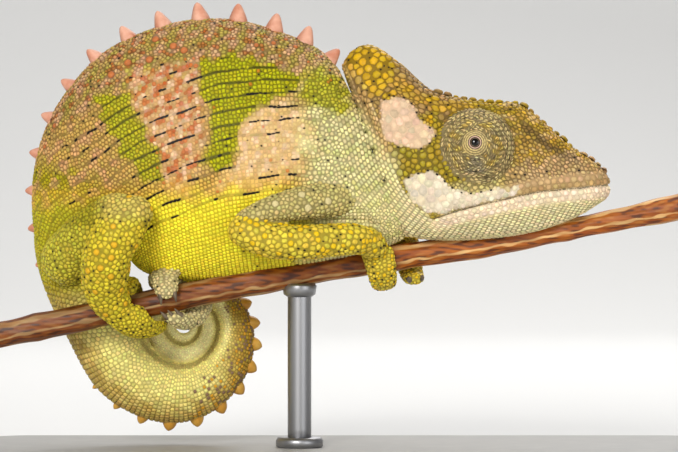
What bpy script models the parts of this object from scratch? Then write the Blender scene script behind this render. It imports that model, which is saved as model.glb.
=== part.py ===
"""A still, life-size chameleon that grips a cut length of twig on a plain display stand.

Metres, +Z up.  The animal faces +X and its right side faces -Y.  The origin is at the middle
of the stand's underside.  Sizes below are in millimetres, and MM turns them into metres.
Heights in the animal's own tables are measured from the lowest point of the coiled tail, and
every piece of the animal and its twig is then lifted by LIFT onto the stand.
"""

import math

import bmesh
import bpy
import numpy as np
from mathutils import Vector

MM = 0.001
GAP = 0.3
COIL_GAP = 0.08
FLAT_ANGLE = 1.0
SHARP_ANGLE = 50.0

# Stand
BASE_LENGTH = 84.0
BASE_WIDTH = 40.0
BASE_HEIGHT = 3.0
BASE_CORNER = 6.0
BASE_CORNER_STEPS = 4
BASE_CHAMFER = 0.4
ROD_RADIUS = 1.3
ROD_SIDES = 14
ROD_X = -5.0
TAIL_CLEARANCE = 1.5
LIFT = BASE_HEIGHT + TAIL_CLEARANCE

# Twig: centre line as (x, height, y), and its radius
TWIG_LINE = [
    (-39.0, 10.7, -3.5), (-28.0, 12.9, -2.8), (-15.3, 15.6, -1.5), (-2.6, 18.0, -0.3),
    (6.8, 19.5, 0.5), (14.1, 20.6, 1.0), (21.2, 21.75, 1.0), (30.8, 23.65, 0.8), (39.0, 25.4, 0.6),
]
TWIG_RADIUS = 1.5
# The twig is thinner for a short way near its upper end: where, over what length, by what share
WAIST_X = 26.0
WAIST_LENGTH = 6.0
WAIST_DEPTH = 0.2

# Trunk stations, nape to tail root: back point, belly point, half width, sideways offset
TRUNK = [
    ((-0.8, 40.2), (6.5, 21.3), 5.1, 0.0),
    ((-3.0, 42.4), (3.3, 19.9), 6.2, 0.0),
    ((-7.2, 44.3), (-2.8, 18.6), 7.0, 0.0),
    ((-12.1, 45.6), (-9.1, 17.5), 7.6, 0.1),
    ((-17.1, 45.6), (-14.3, 16.7), 7.7, 0.2),
    ((-22.2, 44.3), (-18.8, 16.8), 7.2, 0.4),
    ((-26.8, 41.9), (-21.8, 17.5), 6.5, 0.7),
    ((-30.5, 38.1), (-23.4, 18.8), 5.9, 1.1),
    ((-33.0, 34.0), (-23.6, 20.1), 5.4, 1.6),
    ((-34.4, 29.4), (-23.9, 19.4), 5.0, 2.1),
    ((-34.75, 25.1), (-24.0, 17.9), 4.7, 2.6),
    ((-34.4, 20.9), (-23.8, 15.9), 4.4, 3.0),
    ((-33.5, 16.4), (-23.3, 13.5), 4.1, 3.3),
]
TRUNK_NODES = [("neck", 0.0, 1.1), ("chest", 1.1, 3.5), ("abdomen", 3.5, 6.76), ("pelvis", 6.76, 12.0)]
TRUNK_SIDES = 20
RINGS_PER_STATION = 2
STATION_LENGTH = 4.4
BACK_KEEL = 0.16
TRUNK_TAIL_GAP = 0.06

# Tail: a spiral.  Its outer radius is given at every eighth of the first turn, from an eighth
# before the start, and of the second.  Each later turn is a fixed share of the one before
TAIL_CENTRE = (-18.0, 11.8)
TAIL_FIRST_TURN = [22.2, 13.5, 11.7, 10.9, 9.2, 7.7, 6.4, 5.5, 5.0]
TAIL_SECOND_TURN = [4.7, 4.5, 4.55, 4.05, 3.6, 3.1, 2.65, 2.3]
TAIL_SHARE = 0.44
TAIL_START = -17.0
TAIL_NODE_ENDS = [60.0, 140.0, 225.0, 315.0, 450.0, 620.0, 1000.0]
TAIL_STEP = 17.0
INNER_TAIL_STEP = 30.0
TAIL_SIDES = 12
INNER_TAIL_SIDES = 8
TAIL_TIP = 12.0
TAIL_TIP_SIZE = 0.55
TAIL_ROOT_Y = 3.3
TAIL_SHIFT_Y = 2.9
TAIL_ROOT_WIDTH = 4.1
TAIL_ROOT_HALF = 5.0
TAIL_WIDENING = 0.1
TAIL_SHIFT_OVER = 200.0
# How far the first coil reaches in over the next, where the two lie apart sideways
TAIL_TUCK = 0.5

# Crest: cones along the back, then low tubercles along the tail's outer edge
CREST_PITCH = 4.2
CREST_FIRST = 1.1
CREST_HEIGHT = 1.7
CREST_RADIUS = 0.95
CREST_SINK = 0.45
TUBERCLE_STEP = 15.0
TUBERCLE_HEIGHT = 0.9
TUBERCLE_RADIUS = 0.8
TUBERCLE_SINK = 0.6
FIRST_TUBERCLE = 35.0
FULL_TUBERCLE = 80.0
LAST_TUBERCLE = 300.0

# Head stations, nape to snout: crown point, throat point, cheek half width, crest half width
HEAD = [
    ((-0.4, 40.6), (6.9, 21.4), 5.0, 1.9),
    ((0.8, 42.3), (9.1, 21.2), 5.4, 2.1),
    ((2.9, 42.85), (11.1, 21.1), 5.8, 2.5),
    ((5.8, 41.0), (12.9, 21.1), 6.0, 3.2),
    ((8.8, 38.4), (14.8, 21.2), 6.0, 4.0),
    ((12.1, 37.4), (16.9, 21.4), 5.6, 4.5),
    ((15.7, 36.8), (19.2, 21.7), 5.0, 4.5),
    ((19.0, 36.6), (21.8, 22.3), 4.4, 4.2),
    ((22.0, 34.2), (24.1, 23.1), 3.7, 3.6),
    ((24.8, 31.8), (26.1, 24.0), 3.1, 3.0),
    ((27.2, 30.2), (27.7, 25.0), 2.4, 2.2),
    ((28.7, 28.8), (28.7, 25.7), 1.35, 1.1),
    ((29.1, 28.1), (29.1, 26.3), 0.7, 0.55),
]
HEAD_RINGS = 14
MOUTH_LINE = [(30.5, 27.5), (26.1, 27.0), (21.2, 26.5), (16.5, 25.5), (11.8, 24.3), (9.6, 23.5)]
JAW_BOTTOM = (8.6, 15.0)

# Eye turrets: socket centre, then the dome as (radius, distance out from the socket centre)
EYE_X = 14.2
EYE_HEIGHT = 31.3
EYE_SOCKET_Y = 3.2
EYE_AXIS = (-0.05, 1.0, 0.1)
TURRET = [(4.15, 0.0), (4.2, 1.1), (3.85, 2.1), (3.1, 3.2), (2.3, 4.0), (1.35, 4.55)]
TURRET_SIDES = 14
EYEBALL_RADIUS = 0.95
EYEBALL_OUT = 4.15

# Limbs, each point as (x, height, y, radius)
UPPER_ARM = [
    (1.0, 25.9, -3.4, 2.4), (-1.6, 25.7, -5.2, 2.3), (-5.0, 25.1, -7.2, 2.0),
    (-8.2, 24.4, -8.2, 1.6), (-10.4, 23.2, -8.7, 1.6),
]
FOREARM = [
    (-10.9, 22.3, -8.9, 1.8), (-8.0, 21.2, -8.9, 1.95), (-3.9, 21.1, -8.0, 1.95),
    (0.3, 21.4, -6.4, 1.85), (2.2, 21.2, -4.9, 1.6),
]
LEFT_ARM_AHEAD = 3.4
THIGH_RIGHT = [(-30.2, 19.3, -1.5, 3.2), (-27.5, 22.1, -5.0, 2.8), (-24.8, 24.3, -7.4, 2.2)]
SHANK_RIGHT = [
    (-22.6, 24.1, -8.5, 2.1), (-24.1, 22.2, -8.9, 2.65), (-25.4, 20.1, -8.7, 2.75),
    (-25.8, 17.9, -7.9, 2.75), (-25.9, 15.9, -6.9, 2.4),
]
THIGH_LEFT = [(-29.7, 19.6, 5.0, 3.0), (-25.9, 21.8, 8.2, 2.4), (-22.6, 23.8, 9.6, 2.0)]
SHANK_LEFT = [
    (-21.4, 23.4, 9.9, 1.9), (-20.6, 22.0, 9.4, 2.0), (-19.6, 20.9, 7.8, 1.7),
    (-18.7, 19.3, 5.4, 1.35), (-18.0, 17.8, 3.6, 1.25),
]
LIMB_SIDES = 10

# Feet.  A bundle of fused toes winds round the twig: x and angle at its root and at its tip
# (0 faces -Y, 90 is on top), half width along the twig and half thickness at root and tip,
# and its number of claws
PALMS = {
    "hand_right": ((2.2, 21.2, -4.9), (3.1, 20.6, -3.7), (1.7, 1.6)),
    "hand_left": ((6.0, 21.2, 5.2), (6.9, 20.8, 4.3), (1.6, 1.5)),
    "foot_right": ((-25.9, 15.6, -6.6), (-25.2, 14.5, -5.9), (2.3, 2.2)),
    "foot_left": ((-18.3, 17.6, 2.9), (-18.4, 16.0, 1.9), (1.4, 1.7)),
}
TOES = {
    "hand_right_outer_toes": (3.1, 3.7, 22.0, -112.0, (1.9, 1.3), (1.1, 0.75), 2),
    "hand_right_inner_toes": (3.5, 4.1, 52.0, 176.0, (1.2, 0.9), (0.75, 0.6), 3),
    "hand_left_outer_toes": (7.0, 7.3, 152.0, 282.0, (1.7, 1.1), (1.1, 0.7), 2),
    "hand_left_inner_toes": (7.2, 7.4, 132.0, 74.0, (1.2, 0.9), (0.75, 0.6), 3),
    "foot_right_outer_toes": (-24.5, -21.0, 0.0, -112.0, (2.5, 1.5), (1.35, 0.8), 3),
    "foot_right_inner_toes": (-23.6, -22.2, 38.0, 176.0, (1.5, 1.0), (0.9, 0.65), 2),
    "foot_left_upper_toes": (-19.0, -19.4, 142.0, 8.0, (2.1, 1.3), (0.9, 0.75), 2),
    "foot_left_lower_toes": (-16.1, -19.3, 212.0, 322.0, (1.7, 1.25), (1.15, 0.8), 3),
}
CLAW_LENGTH = 0.85
CLAW_RADIUS = 0.34
CLAW_SWEEP = 30.0

COLOURS = {
    "stand": (0.035, 0.033, 0.03),
    "steel": (0.45, 0.45, 0.46),
    "bark": (0.23, 0.075, 0.03),
    "head": (0.42, 0.27, 0.07),
    "throat": (0.62, 0.53, 0.30),
    "body": (0.60, 0.42, 0.14),
    "flank": (0.68, 0.58, 0.05),
    "tail": (0.58, 0.44, 0.12),
    "limb": (0.62, 0.47, 0.07),
    "turret": (0.40, 0.30, 0.12),
    "eyeball": (0.01, 0.009, 0.008),
}


def smooth_curve(rows, at):
    """Value of a smooth curve (Catmull-Rom) through equally spaced rows at parameter at."""
    rows = np.asarray(rows, dtype=float)
    last = len(rows) - 1
    at = min(max(at, 0.0), float(last))
    index = min(int(at), last - 1)
    t = float(at - index)
    before = rows[index - 1] if index > 0 else 2 * rows[0] - rows[1]
    after = rows[index + 2] if index + 2 <= last else 2 * rows[last] - rows[last - 1]
    start, end = rows[index], rows[index + 1]
    return 0.5 * (2 * start + (end - before) * t + (2 * before - 5 * start + 4 * end - after) * t ** 2
                  + (3 * start - before - 3 * end + after) * t ** 3)


def loft(name, rings):
    """Closed skin over equal rings of (x, y, z) millimetre points, with a fan over each end."""
    mesh = bpy.data.meshes.new(name)
    build = bmesh.new()
    loops = [[build.verts.new(Vector(point) * MM) for point in ring] for ring in rings]
    sides = len(loops[0])
    for first, second in zip(loops, loops[1:]):
        for k in range(sides):
            build.faces.new((first[k], first[(k + 1) % sides], second[(k + 1) % sides], second[k]))
    for loop, turn in ((loops[0], -1), (loops[-1], 1)):
        hub = build.verts.new(sum((v.co for v in loop), Vector()) / sides)
        for k in range(sides):
            pair = (loop[k], loop[(k + 1) % sides])
            build.faces.new((*pair[::turn], hub))
    if build.calc_volume(signed=True) < 0:
        bmesh.ops.reverse_faces(build, faces=build.faces)
    build.to_mesh(mesh)
    build.free()
    piece = bpy.data.objects.new(name, mesh)
    bpy.context.scene.collection.objects.link(piece)
    return piece


def combine(piece, tool, operation):
    """Apply one exact Boolean to piece and discard the tool."""
    modifier = piece.modifiers.new("combine", "BOOLEAN")
    modifier.operation = operation
    modifier.solver = "EXACT"
    modifier.object = tool
    graph = bpy.context.evaluated_depsgraph_get()
    shape = bpy.data.meshes.new_from_object(piece.evaluated_get(graph))
    piece.modifiers.clear()
    piece.data = shape
    bpy.data.objects.remove(tool)


def tidy(piece):
    """Drop loose scraps that a cut left beside the main body, and edges across flat faces."""
    build = bmesh.new()
    build.from_mesh(piece.data)
    unseen = set(build.verts)
    bodies = []
    while unseen:
        body = {unseen.pop()}
        edge = list(body)
        while edge:
            vert = edge.pop()
            for link in vert.link_edges:
                other = link.other_vert(vert)
                if other in unseen:
                    unseen.remove(other)
                    body.add(other)
                    edge.append(other)
        bodies.append(body)
    main = max(bodies, key=len)
    scraps = [vert for vert in build.verts if vert not in main]
    bmesh.ops.delete(build, geom=scraps, context="VERTS")
    bmesh.ops.dissolve_limit(build, angle_limit=math.radians(FLAT_ANGLE),
                             verts=build.verts, edges=build.edges)
    build.to_mesh(piece.data)
    build.free()


def finish(piece, colour, roughness=0.6, metallic=0.0):
    """Give a finished piece its material and shading, and lift it onto the stand."""
    material = bpy.data.materials.new(piece.name)
    material.use_nodes = True
    shader = material.node_tree.nodes["Principled BSDF"]
    shader.inputs["Base Color"].default_value = (*COLOURS[colour], 1.0)
    shader.inputs["Roughness"].default_value = roughness
    shader.inputs["Metallic"].default_value = metallic
    piece.data.materials.clear()
    piece.data.materials.append(material)
    piece.data.shade_smooth()
    piece.data.set_sharp_from_angle(angle=math.radians(SHARP_ANGLE))
    piece.location.z = LIFT * MM


# ---------------------------------------------------------------- twig

def twig_point(x):
    """Centre of the twig, and its unit direction, at a given x."""
    xs = [point[0] for point in TWIG_LINE]
    at = float(np.interp(x, xs, range(len(xs))))
    here = smooth_curve(TWIG_LINE, at)
    step = 0.05
    ahead = smooth_curve(TWIG_LINE, min(at + step, len(xs) - 1))
    behind = smooth_curve(TWIG_LINE, max(at - step, 0))
    centre = Vector((here[0], here[2], here[1]))
    along = Vector((ahead[0] - behind[0], ahead[2] - behind[2], ahead[1] - behind[1])).normalized()
    return centre, along


def twig(name, grow=0.0, sides=9, steps=19):
    """The cut twig, or a fatter copy of it that clears room in what lies on it."""
    rings = []
    for step in range(steps + 1):
        x = TWIG_LINE[0][0] + (TWIG_LINE[-1][0] - TWIG_LINE[0][0]) * step / steps
        centre, along = twig_point(x)
        side = along.cross(Vector((0, 0, 1))).normalized()
        up = side.cross(along)
        wave = 0.03 * math.sin(0.55 * x) + 0.02 * math.sin(1.3 * x + 1)
        waist = WAIST_DEPTH * math.exp(-((x - WAIST_X) / WAIST_LENGTH) ** 2)
        radius = TWIG_RADIUS * (1 + wave - waist) + grow
        ring = []
        for k in range(sides):
            angle = 2 * math.pi * k / sides
            ring.append(centre + radius * (math.cos(angle) * side + math.sin(angle) * up))
        rings.append(ring)
    return loft(name, rings)


# ---------------------------------------------------------------- trunk and tail

def trunk_ring(at, grow=0.0):
    """Ring of the trunk: tall and narrow, with a keeled back and a rounder belly."""
    rows = [(*back, *belly, width, offset) for back, belly, width, offset in TRUNK]
    back_x, back_z, belly_x, belly_z, width, offset = smooth_curve(rows, at)
    middle = Vector(((back_x + belly_x) / 2, offset, (back_z + belly_z) / 2))
    half = Vector(((back_x - belly_x) / 2, 0.0, (back_z - belly_z) / 2))
    ring = []
    for k in range(TRUNK_SIDES):
        angle = 2 * math.pi * (k + 0.5) / TRUNK_SIDES
        rise = math.sin(angle)
        across = (width + grow) * math.cos(angle) * (1 - BACK_KEEL * rise)
        ring.append(middle + half * rise * (1 + grow / half.length) + Vector((0, across, 0)))
    return ring


def trunk_span(name, start, end, grow=0.0):
    """A length of the trunk between two stations, with flat ends."""
    count = max(2, round((end - start) * RINGS_PER_STATION))
    return loft(name, [trunk_ring(start + (end - start) * k / count, grow) for k in range(count + 1)])


def coil_radius(degrees):
    """Outer radius of the tail's spiral after a turn of so many degrees."""
    radii = TAIL_FIRST_TURN + TAIL_SECOND_TURN
    while degrees > 45 * (len(radii) - 2):
        radii.append(radii[-8] * TAIL_SHARE)
    return float(smooth_curve([[radius] for radius in radii], degrees / 45 + 1)[0])


def tail_section(degrees):
    """Middle, outward direction, half thickness and half width of the tail."""
    outer = coil_radius(degrees)
    angle = math.radians(180 + degrees)
    outward = Vector((math.cos(angle), 0.0, math.sin(angle)))
    ease = min(max((degrees - TAIL_START) / TAIL_SHIFT_OVER, 0.0), 1.0)
    ease = ease * ease * (3 - 2 * ease)
    inner = coil_radius(degrees + 360) + COIL_GAP - TAIL_TUCK * (1 - ease)
    half = (outer - inner) / 2
    width = half * (TAIL_ROOT_WIDTH / TAIL_ROOT_HALF + TAIL_WIDENING * ease)
    middle = Vector((TAIL_CENTRE[0], TAIL_ROOT_Y + TAIL_SHIFT_Y * ease, TAIL_CENTRE[1]))
    return middle + outward * (outer + inner) / 2, outward, half, width


def tail_span(name, start, end):
    """A length of the tail between two angles of its spiral."""
    count = max(2, round((end - start) / (TAIL_STEP if start < 300 else INNER_TAIL_STEP)))
    sides = TAIL_SIDES if start < TAIL_NODE_ENDS[3] else INNER_TAIL_SIDES
    rings = []
    for step in range(count + 1):
        degrees = start + (end - start) * step / count
        middle, outward, half, width = tail_section(degrees)
        ring = []
        for k in range(sides):
            angle = 2 * math.pi * (k + 0.5) / sides
            ring.append(middle + outward * half * math.sin(angle) + Vector((0, width * math.cos(angle), 0)))
        rings.append(ring)
    if end == TAIL_NODE_ENDS[-1]:
        tip = tail_section(end + TAIL_TIP)[0]
        hub = sum(rings[-1], Vector()) / sides
        rings.append([tip + (point - hub) * TAIL_TIP_SIZE for point in rings[-1]])
    return loft(name, rings)


def cone(name, foot, tip, radius, sides=6, blunt=True):
    """A cone that starts inside the body and ends in a small blunt tip."""
    axis = (tip - foot).normalized()
    side = axis.orthogonal().normalized()
    other = axis.cross(side)
    rings = []
    shape = ((0.0, 1.0), (0.55, 0.68), (1.0, 0.14)) if blunt else ((0.0, 1.0), (1.0, 0.12))
    for along, size in shape:
        centre = foot.lerp(tip, along)
        rings.append([centre + radius * size * (math.cos(2 * math.pi * k / sides) * side
                                                + math.sin(2 * math.pi * k / sides) * other)
                      for k in range(sides)])
    return loft(name, rings)


def back_line(samples=400):
    """Points along the middle of the back, with the distance from the nape to each."""
    rows = [(*back, *belly, width, offset) for back, belly, width, offset in TRUNK]
    points = []
    for step in range(samples + 1):
        at = (len(TRUNK) - 1) * step / samples
        back_x, back_z, belly_x, belly_z, _, offset = smooth_curve(rows, at)
        across = Vector((back_x - belly_x, 0, back_z - belly_z))
        points.append((at, Vector((back_x, offset, back_z)), across))
    travelled = [0.0]
    for first, second in zip(points, points[1:]):
        travelled.append(travelled[-1] + (second[1] - first[1]).length)
    return points, travelled


def crest_cones():
    """Foot, tip, radius and trunk station of every cone along the back."""
    points, travelled = back_line()
    place = CREST_FIRST
    found = []
    while place < travelled[-1] - 1.0:
        index = int(np.searchsorted(travelled, place))
        at, point, across = points[index]
        heading = (points[min(index + 2, len(points) - 1)][1] - points[index - 2][1]).normalized()
        outward = Vector((-heading.z, 0, heading.x))
        if outward.dot(across) < 0:
            outward.negate()
        share = place / travelled[-1]
        size = min(1.0, 0.8 + 3 * share) * (1 - 0.8 * max(0.0, share - 0.3) / 0.7)
        tip = point + outward * CREST_HEIGHT * size + heading * 0.35 * size
        found.append((point - outward * CREST_SINK, tip, CREST_RADIUS * (0.45 + 0.55 * size), at))
        place += CREST_PITCH * (0.78 + 0.22 * min(1.0, 6 * share))
    return found


def make_trunk():
    """Neck, chest, abdomen and pelvis with the cones of the crest."""
    pieces = {}
    for name, start, end in TRUNK_NODES:
        last = end == TRUNK_NODES[-1][2]
        pieces[name] = trunk_span(name, start, end - (TRUNK_TAIL_GAP if last else GAP / STATION_LENGTH))
    for foot, tip, radius, at in crest_cones():
        for name, start, end in TRUNK_NODES:
            if start < at < end:
                combine(pieces[name], cone("cone", foot, tip, radius), "UNION")
    return pieces


def tubercles():
    """Foot, tip, radius and angle of every knob along the tail's outer edge."""
    found = []
    degrees = FIRST_TUBERCLE
    while degrees < LAST_TUBERCLE:
        middle, outward, half, _ = tail_section(degrees)
        grown = min((degrees - FIRST_TUBERCLE) / (FULL_TUBERCLE - FIRST_TUBERCLE), 1.0)
        size = (0.45 + 0.55 * grown) * min(1.0, 1.3 - degrees / 600)
        foot = middle + outward * (half - TUBERCLE_SINK)
        tip = middle + outward * (half + TUBERCLE_HEIGHT * size)
        found.append((foot, tip, TUBERCLE_RADIUS * size, degrees))
        degrees += TUBERCLE_STEP * (1 + degrees / 1200)
    return found


def make_tail():
    """The coiled tail in lengths, with tubercles along its outer edge."""
    pieces = {}
    start = TAIL_START
    for number, end in enumerate(TAIL_NODE_ENDS, 1):
        name = f"tail_{number}"
        gap = math.degrees(GAP / coil_radius(end + 360)) if end < TAIL_NODE_ENDS[-1] else 0.0
        pieces[name] = tail_span(name, start, end - min(gap, 6.0))
        for foot, tip, radius, degrees in tubercles():
            if start < degrees < end:
                combine(pieces[name], cone("bead", foot, tip, radius, sides=5), "UNION")
        start = end
    return pieces


# ---------------------------------------------------------------- head

def head_ring(at):
    """Ring of the head: flat throat, full cheeks, and a crest that narrows to the crown."""
    rows = [(*crown, *throat, cheek, crest) for crown, throat, cheek, crest in HEAD]
    crown_x, crown_z, throat_x, throat_z, cheek, crest = smooth_curve(rows, at)
    low = Vector((throat_x, 0.0, throat_z))
    rise = Vector((crown_x - throat_x, 0.0, crown_z - throat_z))
    heights = [0.0, 0.015, 0.08, 0.2, 0.36, 0.52, 0.68, 0.82, 0.92, 0.98, 1.0]
    middle = (cheek + crest) / 2
    spreads = [0.0, 0.38 * cheek, 0.68 * cheek, 0.9 * cheek, cheek, 0.97 * cheek,
               0.35 * cheek + 0.65 * middle, 0.3 * middle + 0.7 * crest, 0.85 * crest, 0.5 * crest, 0.0]
    right = [low + rise * height - Vector((0, spread, 0)) for height, spread in zip(heights, spreads)]
    left = [low + rise * height + Vector((0, spread, 0)) for height, spread in zip(heights, spreads)]
    return right + left[-2:0:-1]


def turret(name, side, grow=0.0):
    """One cone-shaped eye turret, or a fatter copy that cuts its socket."""
    axis = Vector((EYE_AXIS[0], EYE_AXIS[1] * side, EYE_AXIS[2])).normalized()
    origin = Vector((EYE_X, EYE_SOCKET_Y * side, EYE_HEIGHT))
    across = axis.cross(Vector((0, 0, 1))).normalized()
    up = across.cross(axis)
    rings = []
    for radius, out in TURRET:
        centre = origin + axis * (out + (grow if out else -grow))
        rings.append([centre + (radius + grow) * (math.cos(2 * math.pi * k / TURRET_SIDES) * across
                                                  + math.sin(2 * math.pi * k / TURRET_SIDES) * up)
                      for k in range(TURRET_SIDES)])
    return loft(name, rings), origin, axis


def ball(name, centre, radius, sides=10, bands=6):
    """A round ball."""
    rings = []
    for step in range(1, bands):
        angle = math.pi * step / bands
        rings.append([centre + radius * Vector((math.sin(angle) * math.cos(2 * math.pi * k / sides),
                                                math.cos(angle),
                                                math.sin(angle) * math.sin(2 * math.pi * k / sides)))
                      for k in range(sides)])
    return loft(name, rings)


def mouth_cutter(name, below):
    """Everything below the line of the mouth, or everything above and behind it."""
    shift = -GAP / 2 if below else GAP / 2
    line = [(x, z + shift) for x, z in MOUTH_LINE]
    back = JAW_BOTTOM[0] + (GAP / 2 if below else -GAP / 2)
    if below:
        outline = line + [(back, JAW_BOTTOM[1]), (32.0, JAW_BOTTOM[1])]
    else:
        outline = line + [(back, JAW_BOTTOM[1]), (-6.0, JAW_BOTTOM[1]), (-6.0, 46.0), (32.0, 46.0)]
    return loft(name, [[(x, y, z) for x, z in outline] for y in (-12.0, 12.0)])


def make_head():
    """Head and lower jaw, parted along the mouth, with a turret and an eyeball on each side."""
    steps = HEAD_RINGS
    rings = [head_ring((len(HEAD) - 1) * step / steps) for step in range(steps + 1)]
    pieces = {"head": loft("head", rings), "lower_jaw": loft("lower_jaw", rings)}
    for side, word in ((-1, "right"), (1, "left")):
        eye, origin, axis = turret(f"eye_turret_{word}", side)
        centre = origin + axis * EYEBALL_OUT
        combine(pieces["head"], turret("socket", side, GAP)[0], "DIFFERENCE")
        combine(eye, ball("pocket", centre, EYEBALL_RADIUS + GAP), "DIFFERENCE")
        pieces[eye.name] = eye
        pieces[f"eyeball_{word}"] = ball(f"eyeball_{word}", centre, EYEBALL_RADIUS)
    combine(pieces["head"], mouth_cutter("upper", below=False), "INTERSECT")
    combine(pieces["lower_jaw"], mouth_cutter("lower", below=True), "INTERSECT")
    return pieces


# ---------------------------------------------------------------- limbs and feet

def limb(name, line, grow=0.0):
    """A tapering limb along a smooth line of (x, height, y, radius), with rounded ends."""
    count = 2 * (len(line) - 1)
    samples = [smooth_curve(line, (len(line) - 1) * step / count) for step in range(count + 1)]
    centres = [Vector((x, y, z)) for x, z, y, _ in samples]
    radii = [float(row[3]) + grow for row in samples]
    headings = [(centres[min(k + 1, count)] - centres[max(k - 1, 0)]).normalized()
                for k in range(count + 1)]
    for end, turn in ((0, -1), (-1, 1)):
        place = 0 if end == 0 else len(centres)
        cap = centres[end] + headings[end] * radii[end] * 0.6 * turn
        centres.insert(place, cap)
        radii.insert(place, radii[end] * 0.62)
        headings.insert(place, headings[end])
    side = headings[0].orthogonal().normalized()
    rings = []
    for centre, radius, heading in zip(centres, radii, headings):
        side = (side - heading * side.dot(heading)).normalized()
        other = heading.cross(side)
        rings.append([centre + radius * (math.cos(2 * math.pi * k / LIMB_SIDES) * side
                                         + math.sin(2 * math.pi * k / LIMB_SIDES) * other)
                      for k in range(LIMB_SIDES)])
    return loft(name, rings)


def toe_frame(spec, share):
    """Centre, directions and half sizes of a toe bundle at a share of its way round the twig."""
    x_root, x_tip, angle_root, angle_tip, widths, thicks, _ = spec
    centre, along = twig_point(x_root + (x_tip - x_root) * share)
    side = Vector((0, -1, 0))
    side = (side - along * side.dot(along)).normalized()
    up = side.cross(along) if side.cross(along).z > 0 else along.cross(side)
    angle = math.radians(angle_root + (angle_tip - angle_root) * share)
    outward = side * math.cos(angle) + up * math.sin(angle)
    width = widths[0] + (widths[1] - widths[0]) * max(share, 0.0) ** 1.5
    thick = thicks[0] + (thicks[1] - thicks[0]) * share
    return centre + outward * (TWIG_RADIUS + GAP + 0.1 + thick), along, outward, width, thick


def toe_bundle(name, spec, grow=0.0, sides=8, steps=5):
    """A mitten of fused toes wound round the twig."""
    rings = []
    stops = [(-0.05, 0.5)] + [(k / steps, 1.0) for k in range(steps)] + [(0.97, 0.8), (1.03, 0.4)]
    for share, size in stops:
        centre, along, outward, width, thick = toe_frame(spec, share)
        rings.append([centre + along * (width + grow) * size * math.cos(2 * math.pi * k / sides)
                      + outward * (thick + grow) * size * math.sin(2 * math.pi * k / sides)
                      for k in range(sides)])
    return loft(name, rings)


def add_claws(piece, spec):
    """Short curved-down claws, side by side at the tip of a toe bundle."""
    count = spec[-1]
    start, along, outward, width, _ = toe_frame(spec, 0.93)
    ahead = toe_frame(spec, 1.0)[0]
    heading = (ahead - start).normalized()
    for k in range(count):
        across = along * width * 0.55 * (2 * k / (count - 1) - 1)
        foot = start + across
        tip = ahead + across * 1.1 + heading * CLAW_LENGTH - outward * 0.12 * CLAW_LENGTH
        combine(piece, cone("claw", foot, tip, CLAW_RADIUS, sides=5, blunt=False), "UNION")


def palm(name, spec, grow=0.0):
    """The sole or palm that joins a limb to its two bundles of toes."""
    start, end, radii = spec
    line = [(*start, radii[0]), (*end, radii[1])]
    return limb(name, line, grow)


def mirrored(line, ahead):
    """The same limb on the left side, reaching further forward towards its foot."""
    last = len(line) - 1
    return [(x + ahead * k / last, z, -y, radius) for k, (x, z, y, radius) in enumerate(line)]


def make_limbs():
    """All four limbs: two lengths each, a palm, and two bundles of toes."""
    left_upper = mirrored(UPPER_ARM, 0.6)
    left_lower = mirrored(FOREARM, LEFT_ARM_AHEAD)
    left_lower[0] = (left_upper[-1][0] - 0.4, *left_lower[0][1:])
    lines = {
        "right": (("upper_arm_right", UPPER_ARM), ("forearm_right", FOREARM), "hand_right"),
        "left": (("upper_arm_left", left_upper), ("forearm_left", left_lower), "hand_left"),
        "right_hind": (("thigh_right", THIGH_RIGHT), ("shank_right", SHANK_RIGHT), "foot_right"),
        "left_hind": (("thigh_left", THIGH_LEFT), ("shank_left", SHANK_LEFT), "foot_left"),
    }
    pieces = {}
    for (upper, upper_line), (lower, lower_line), foot in lines.values():
        pieces[upper] = limb(upper, upper_line)
        pieces[lower] = limb(lower, lower_line)
        pieces[foot] = palm(foot, PALMS[foot])
        combine(pieces[upper], limb("room", lower_line, GAP), "DIFFERENCE")
        combine(pieces[foot], limb("room", lower_line, GAP), "DIFFERENCE")
        bundles = [name for name in TOES if name.startswith(foot)]
        for name in bundles:
            pieces[name] = toe_bundle(name, TOES[name])
            add_claws(pieces[name], TOES[name])
            combine(pieces[name], palm("room", PALMS[foot], GAP), "DIFFERENCE")
            combine(pieces[name], limb("room", lower_line, GAP), "DIFFERENCE")
        combine(pieces[bundles[1]], toe_bundle("room", TOES[bundles[0]], GAP), "DIFFERENCE")
        for name in (upper, lower):
            combine(pieces[name], trunk_span("room", 0.0, len(TRUNK) - 1, GAP), "DIFFERENCE")
    return pieces


def toe_room(spec):
    """A bundle that reaches past its claws, with clear room all round."""
    x_root, x_tip, angle_root, angle_tip, *rest = spec
    beyond = math.copysign(CLAW_SWEEP, angle_tip - angle_root)
    return toe_bundle("room", (x_root, x_tip, angle_root, angle_tip + beyond, *rest), GAP)


def clear_for_feet(pieces):
    """Make room in throat and belly for the toes that pass between them and the twig."""
    for name in ("neck", "chest", "abdomen", "pelvis", "head", "lower_jaw"):
        for foot, spec in PALMS.items():
            combine(pieces[name], palm("room", spec, GAP), "DIFFERENCE")
        for spec in TOES.values():
            combine(pieces[name], toe_room(spec), "DIFFERENCE")
    for name in ("neck", "chest", "abdomen", "pelvis", "head", "lower_jaw", "hand_right", "hand_left",
                 "foot_right", "foot_left", "shank_left", "shank_right"):
        combine(pieces[name], twig("room", GAP), "DIFFERENCE")


# ---------------------------------------------------------------- stand

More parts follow.
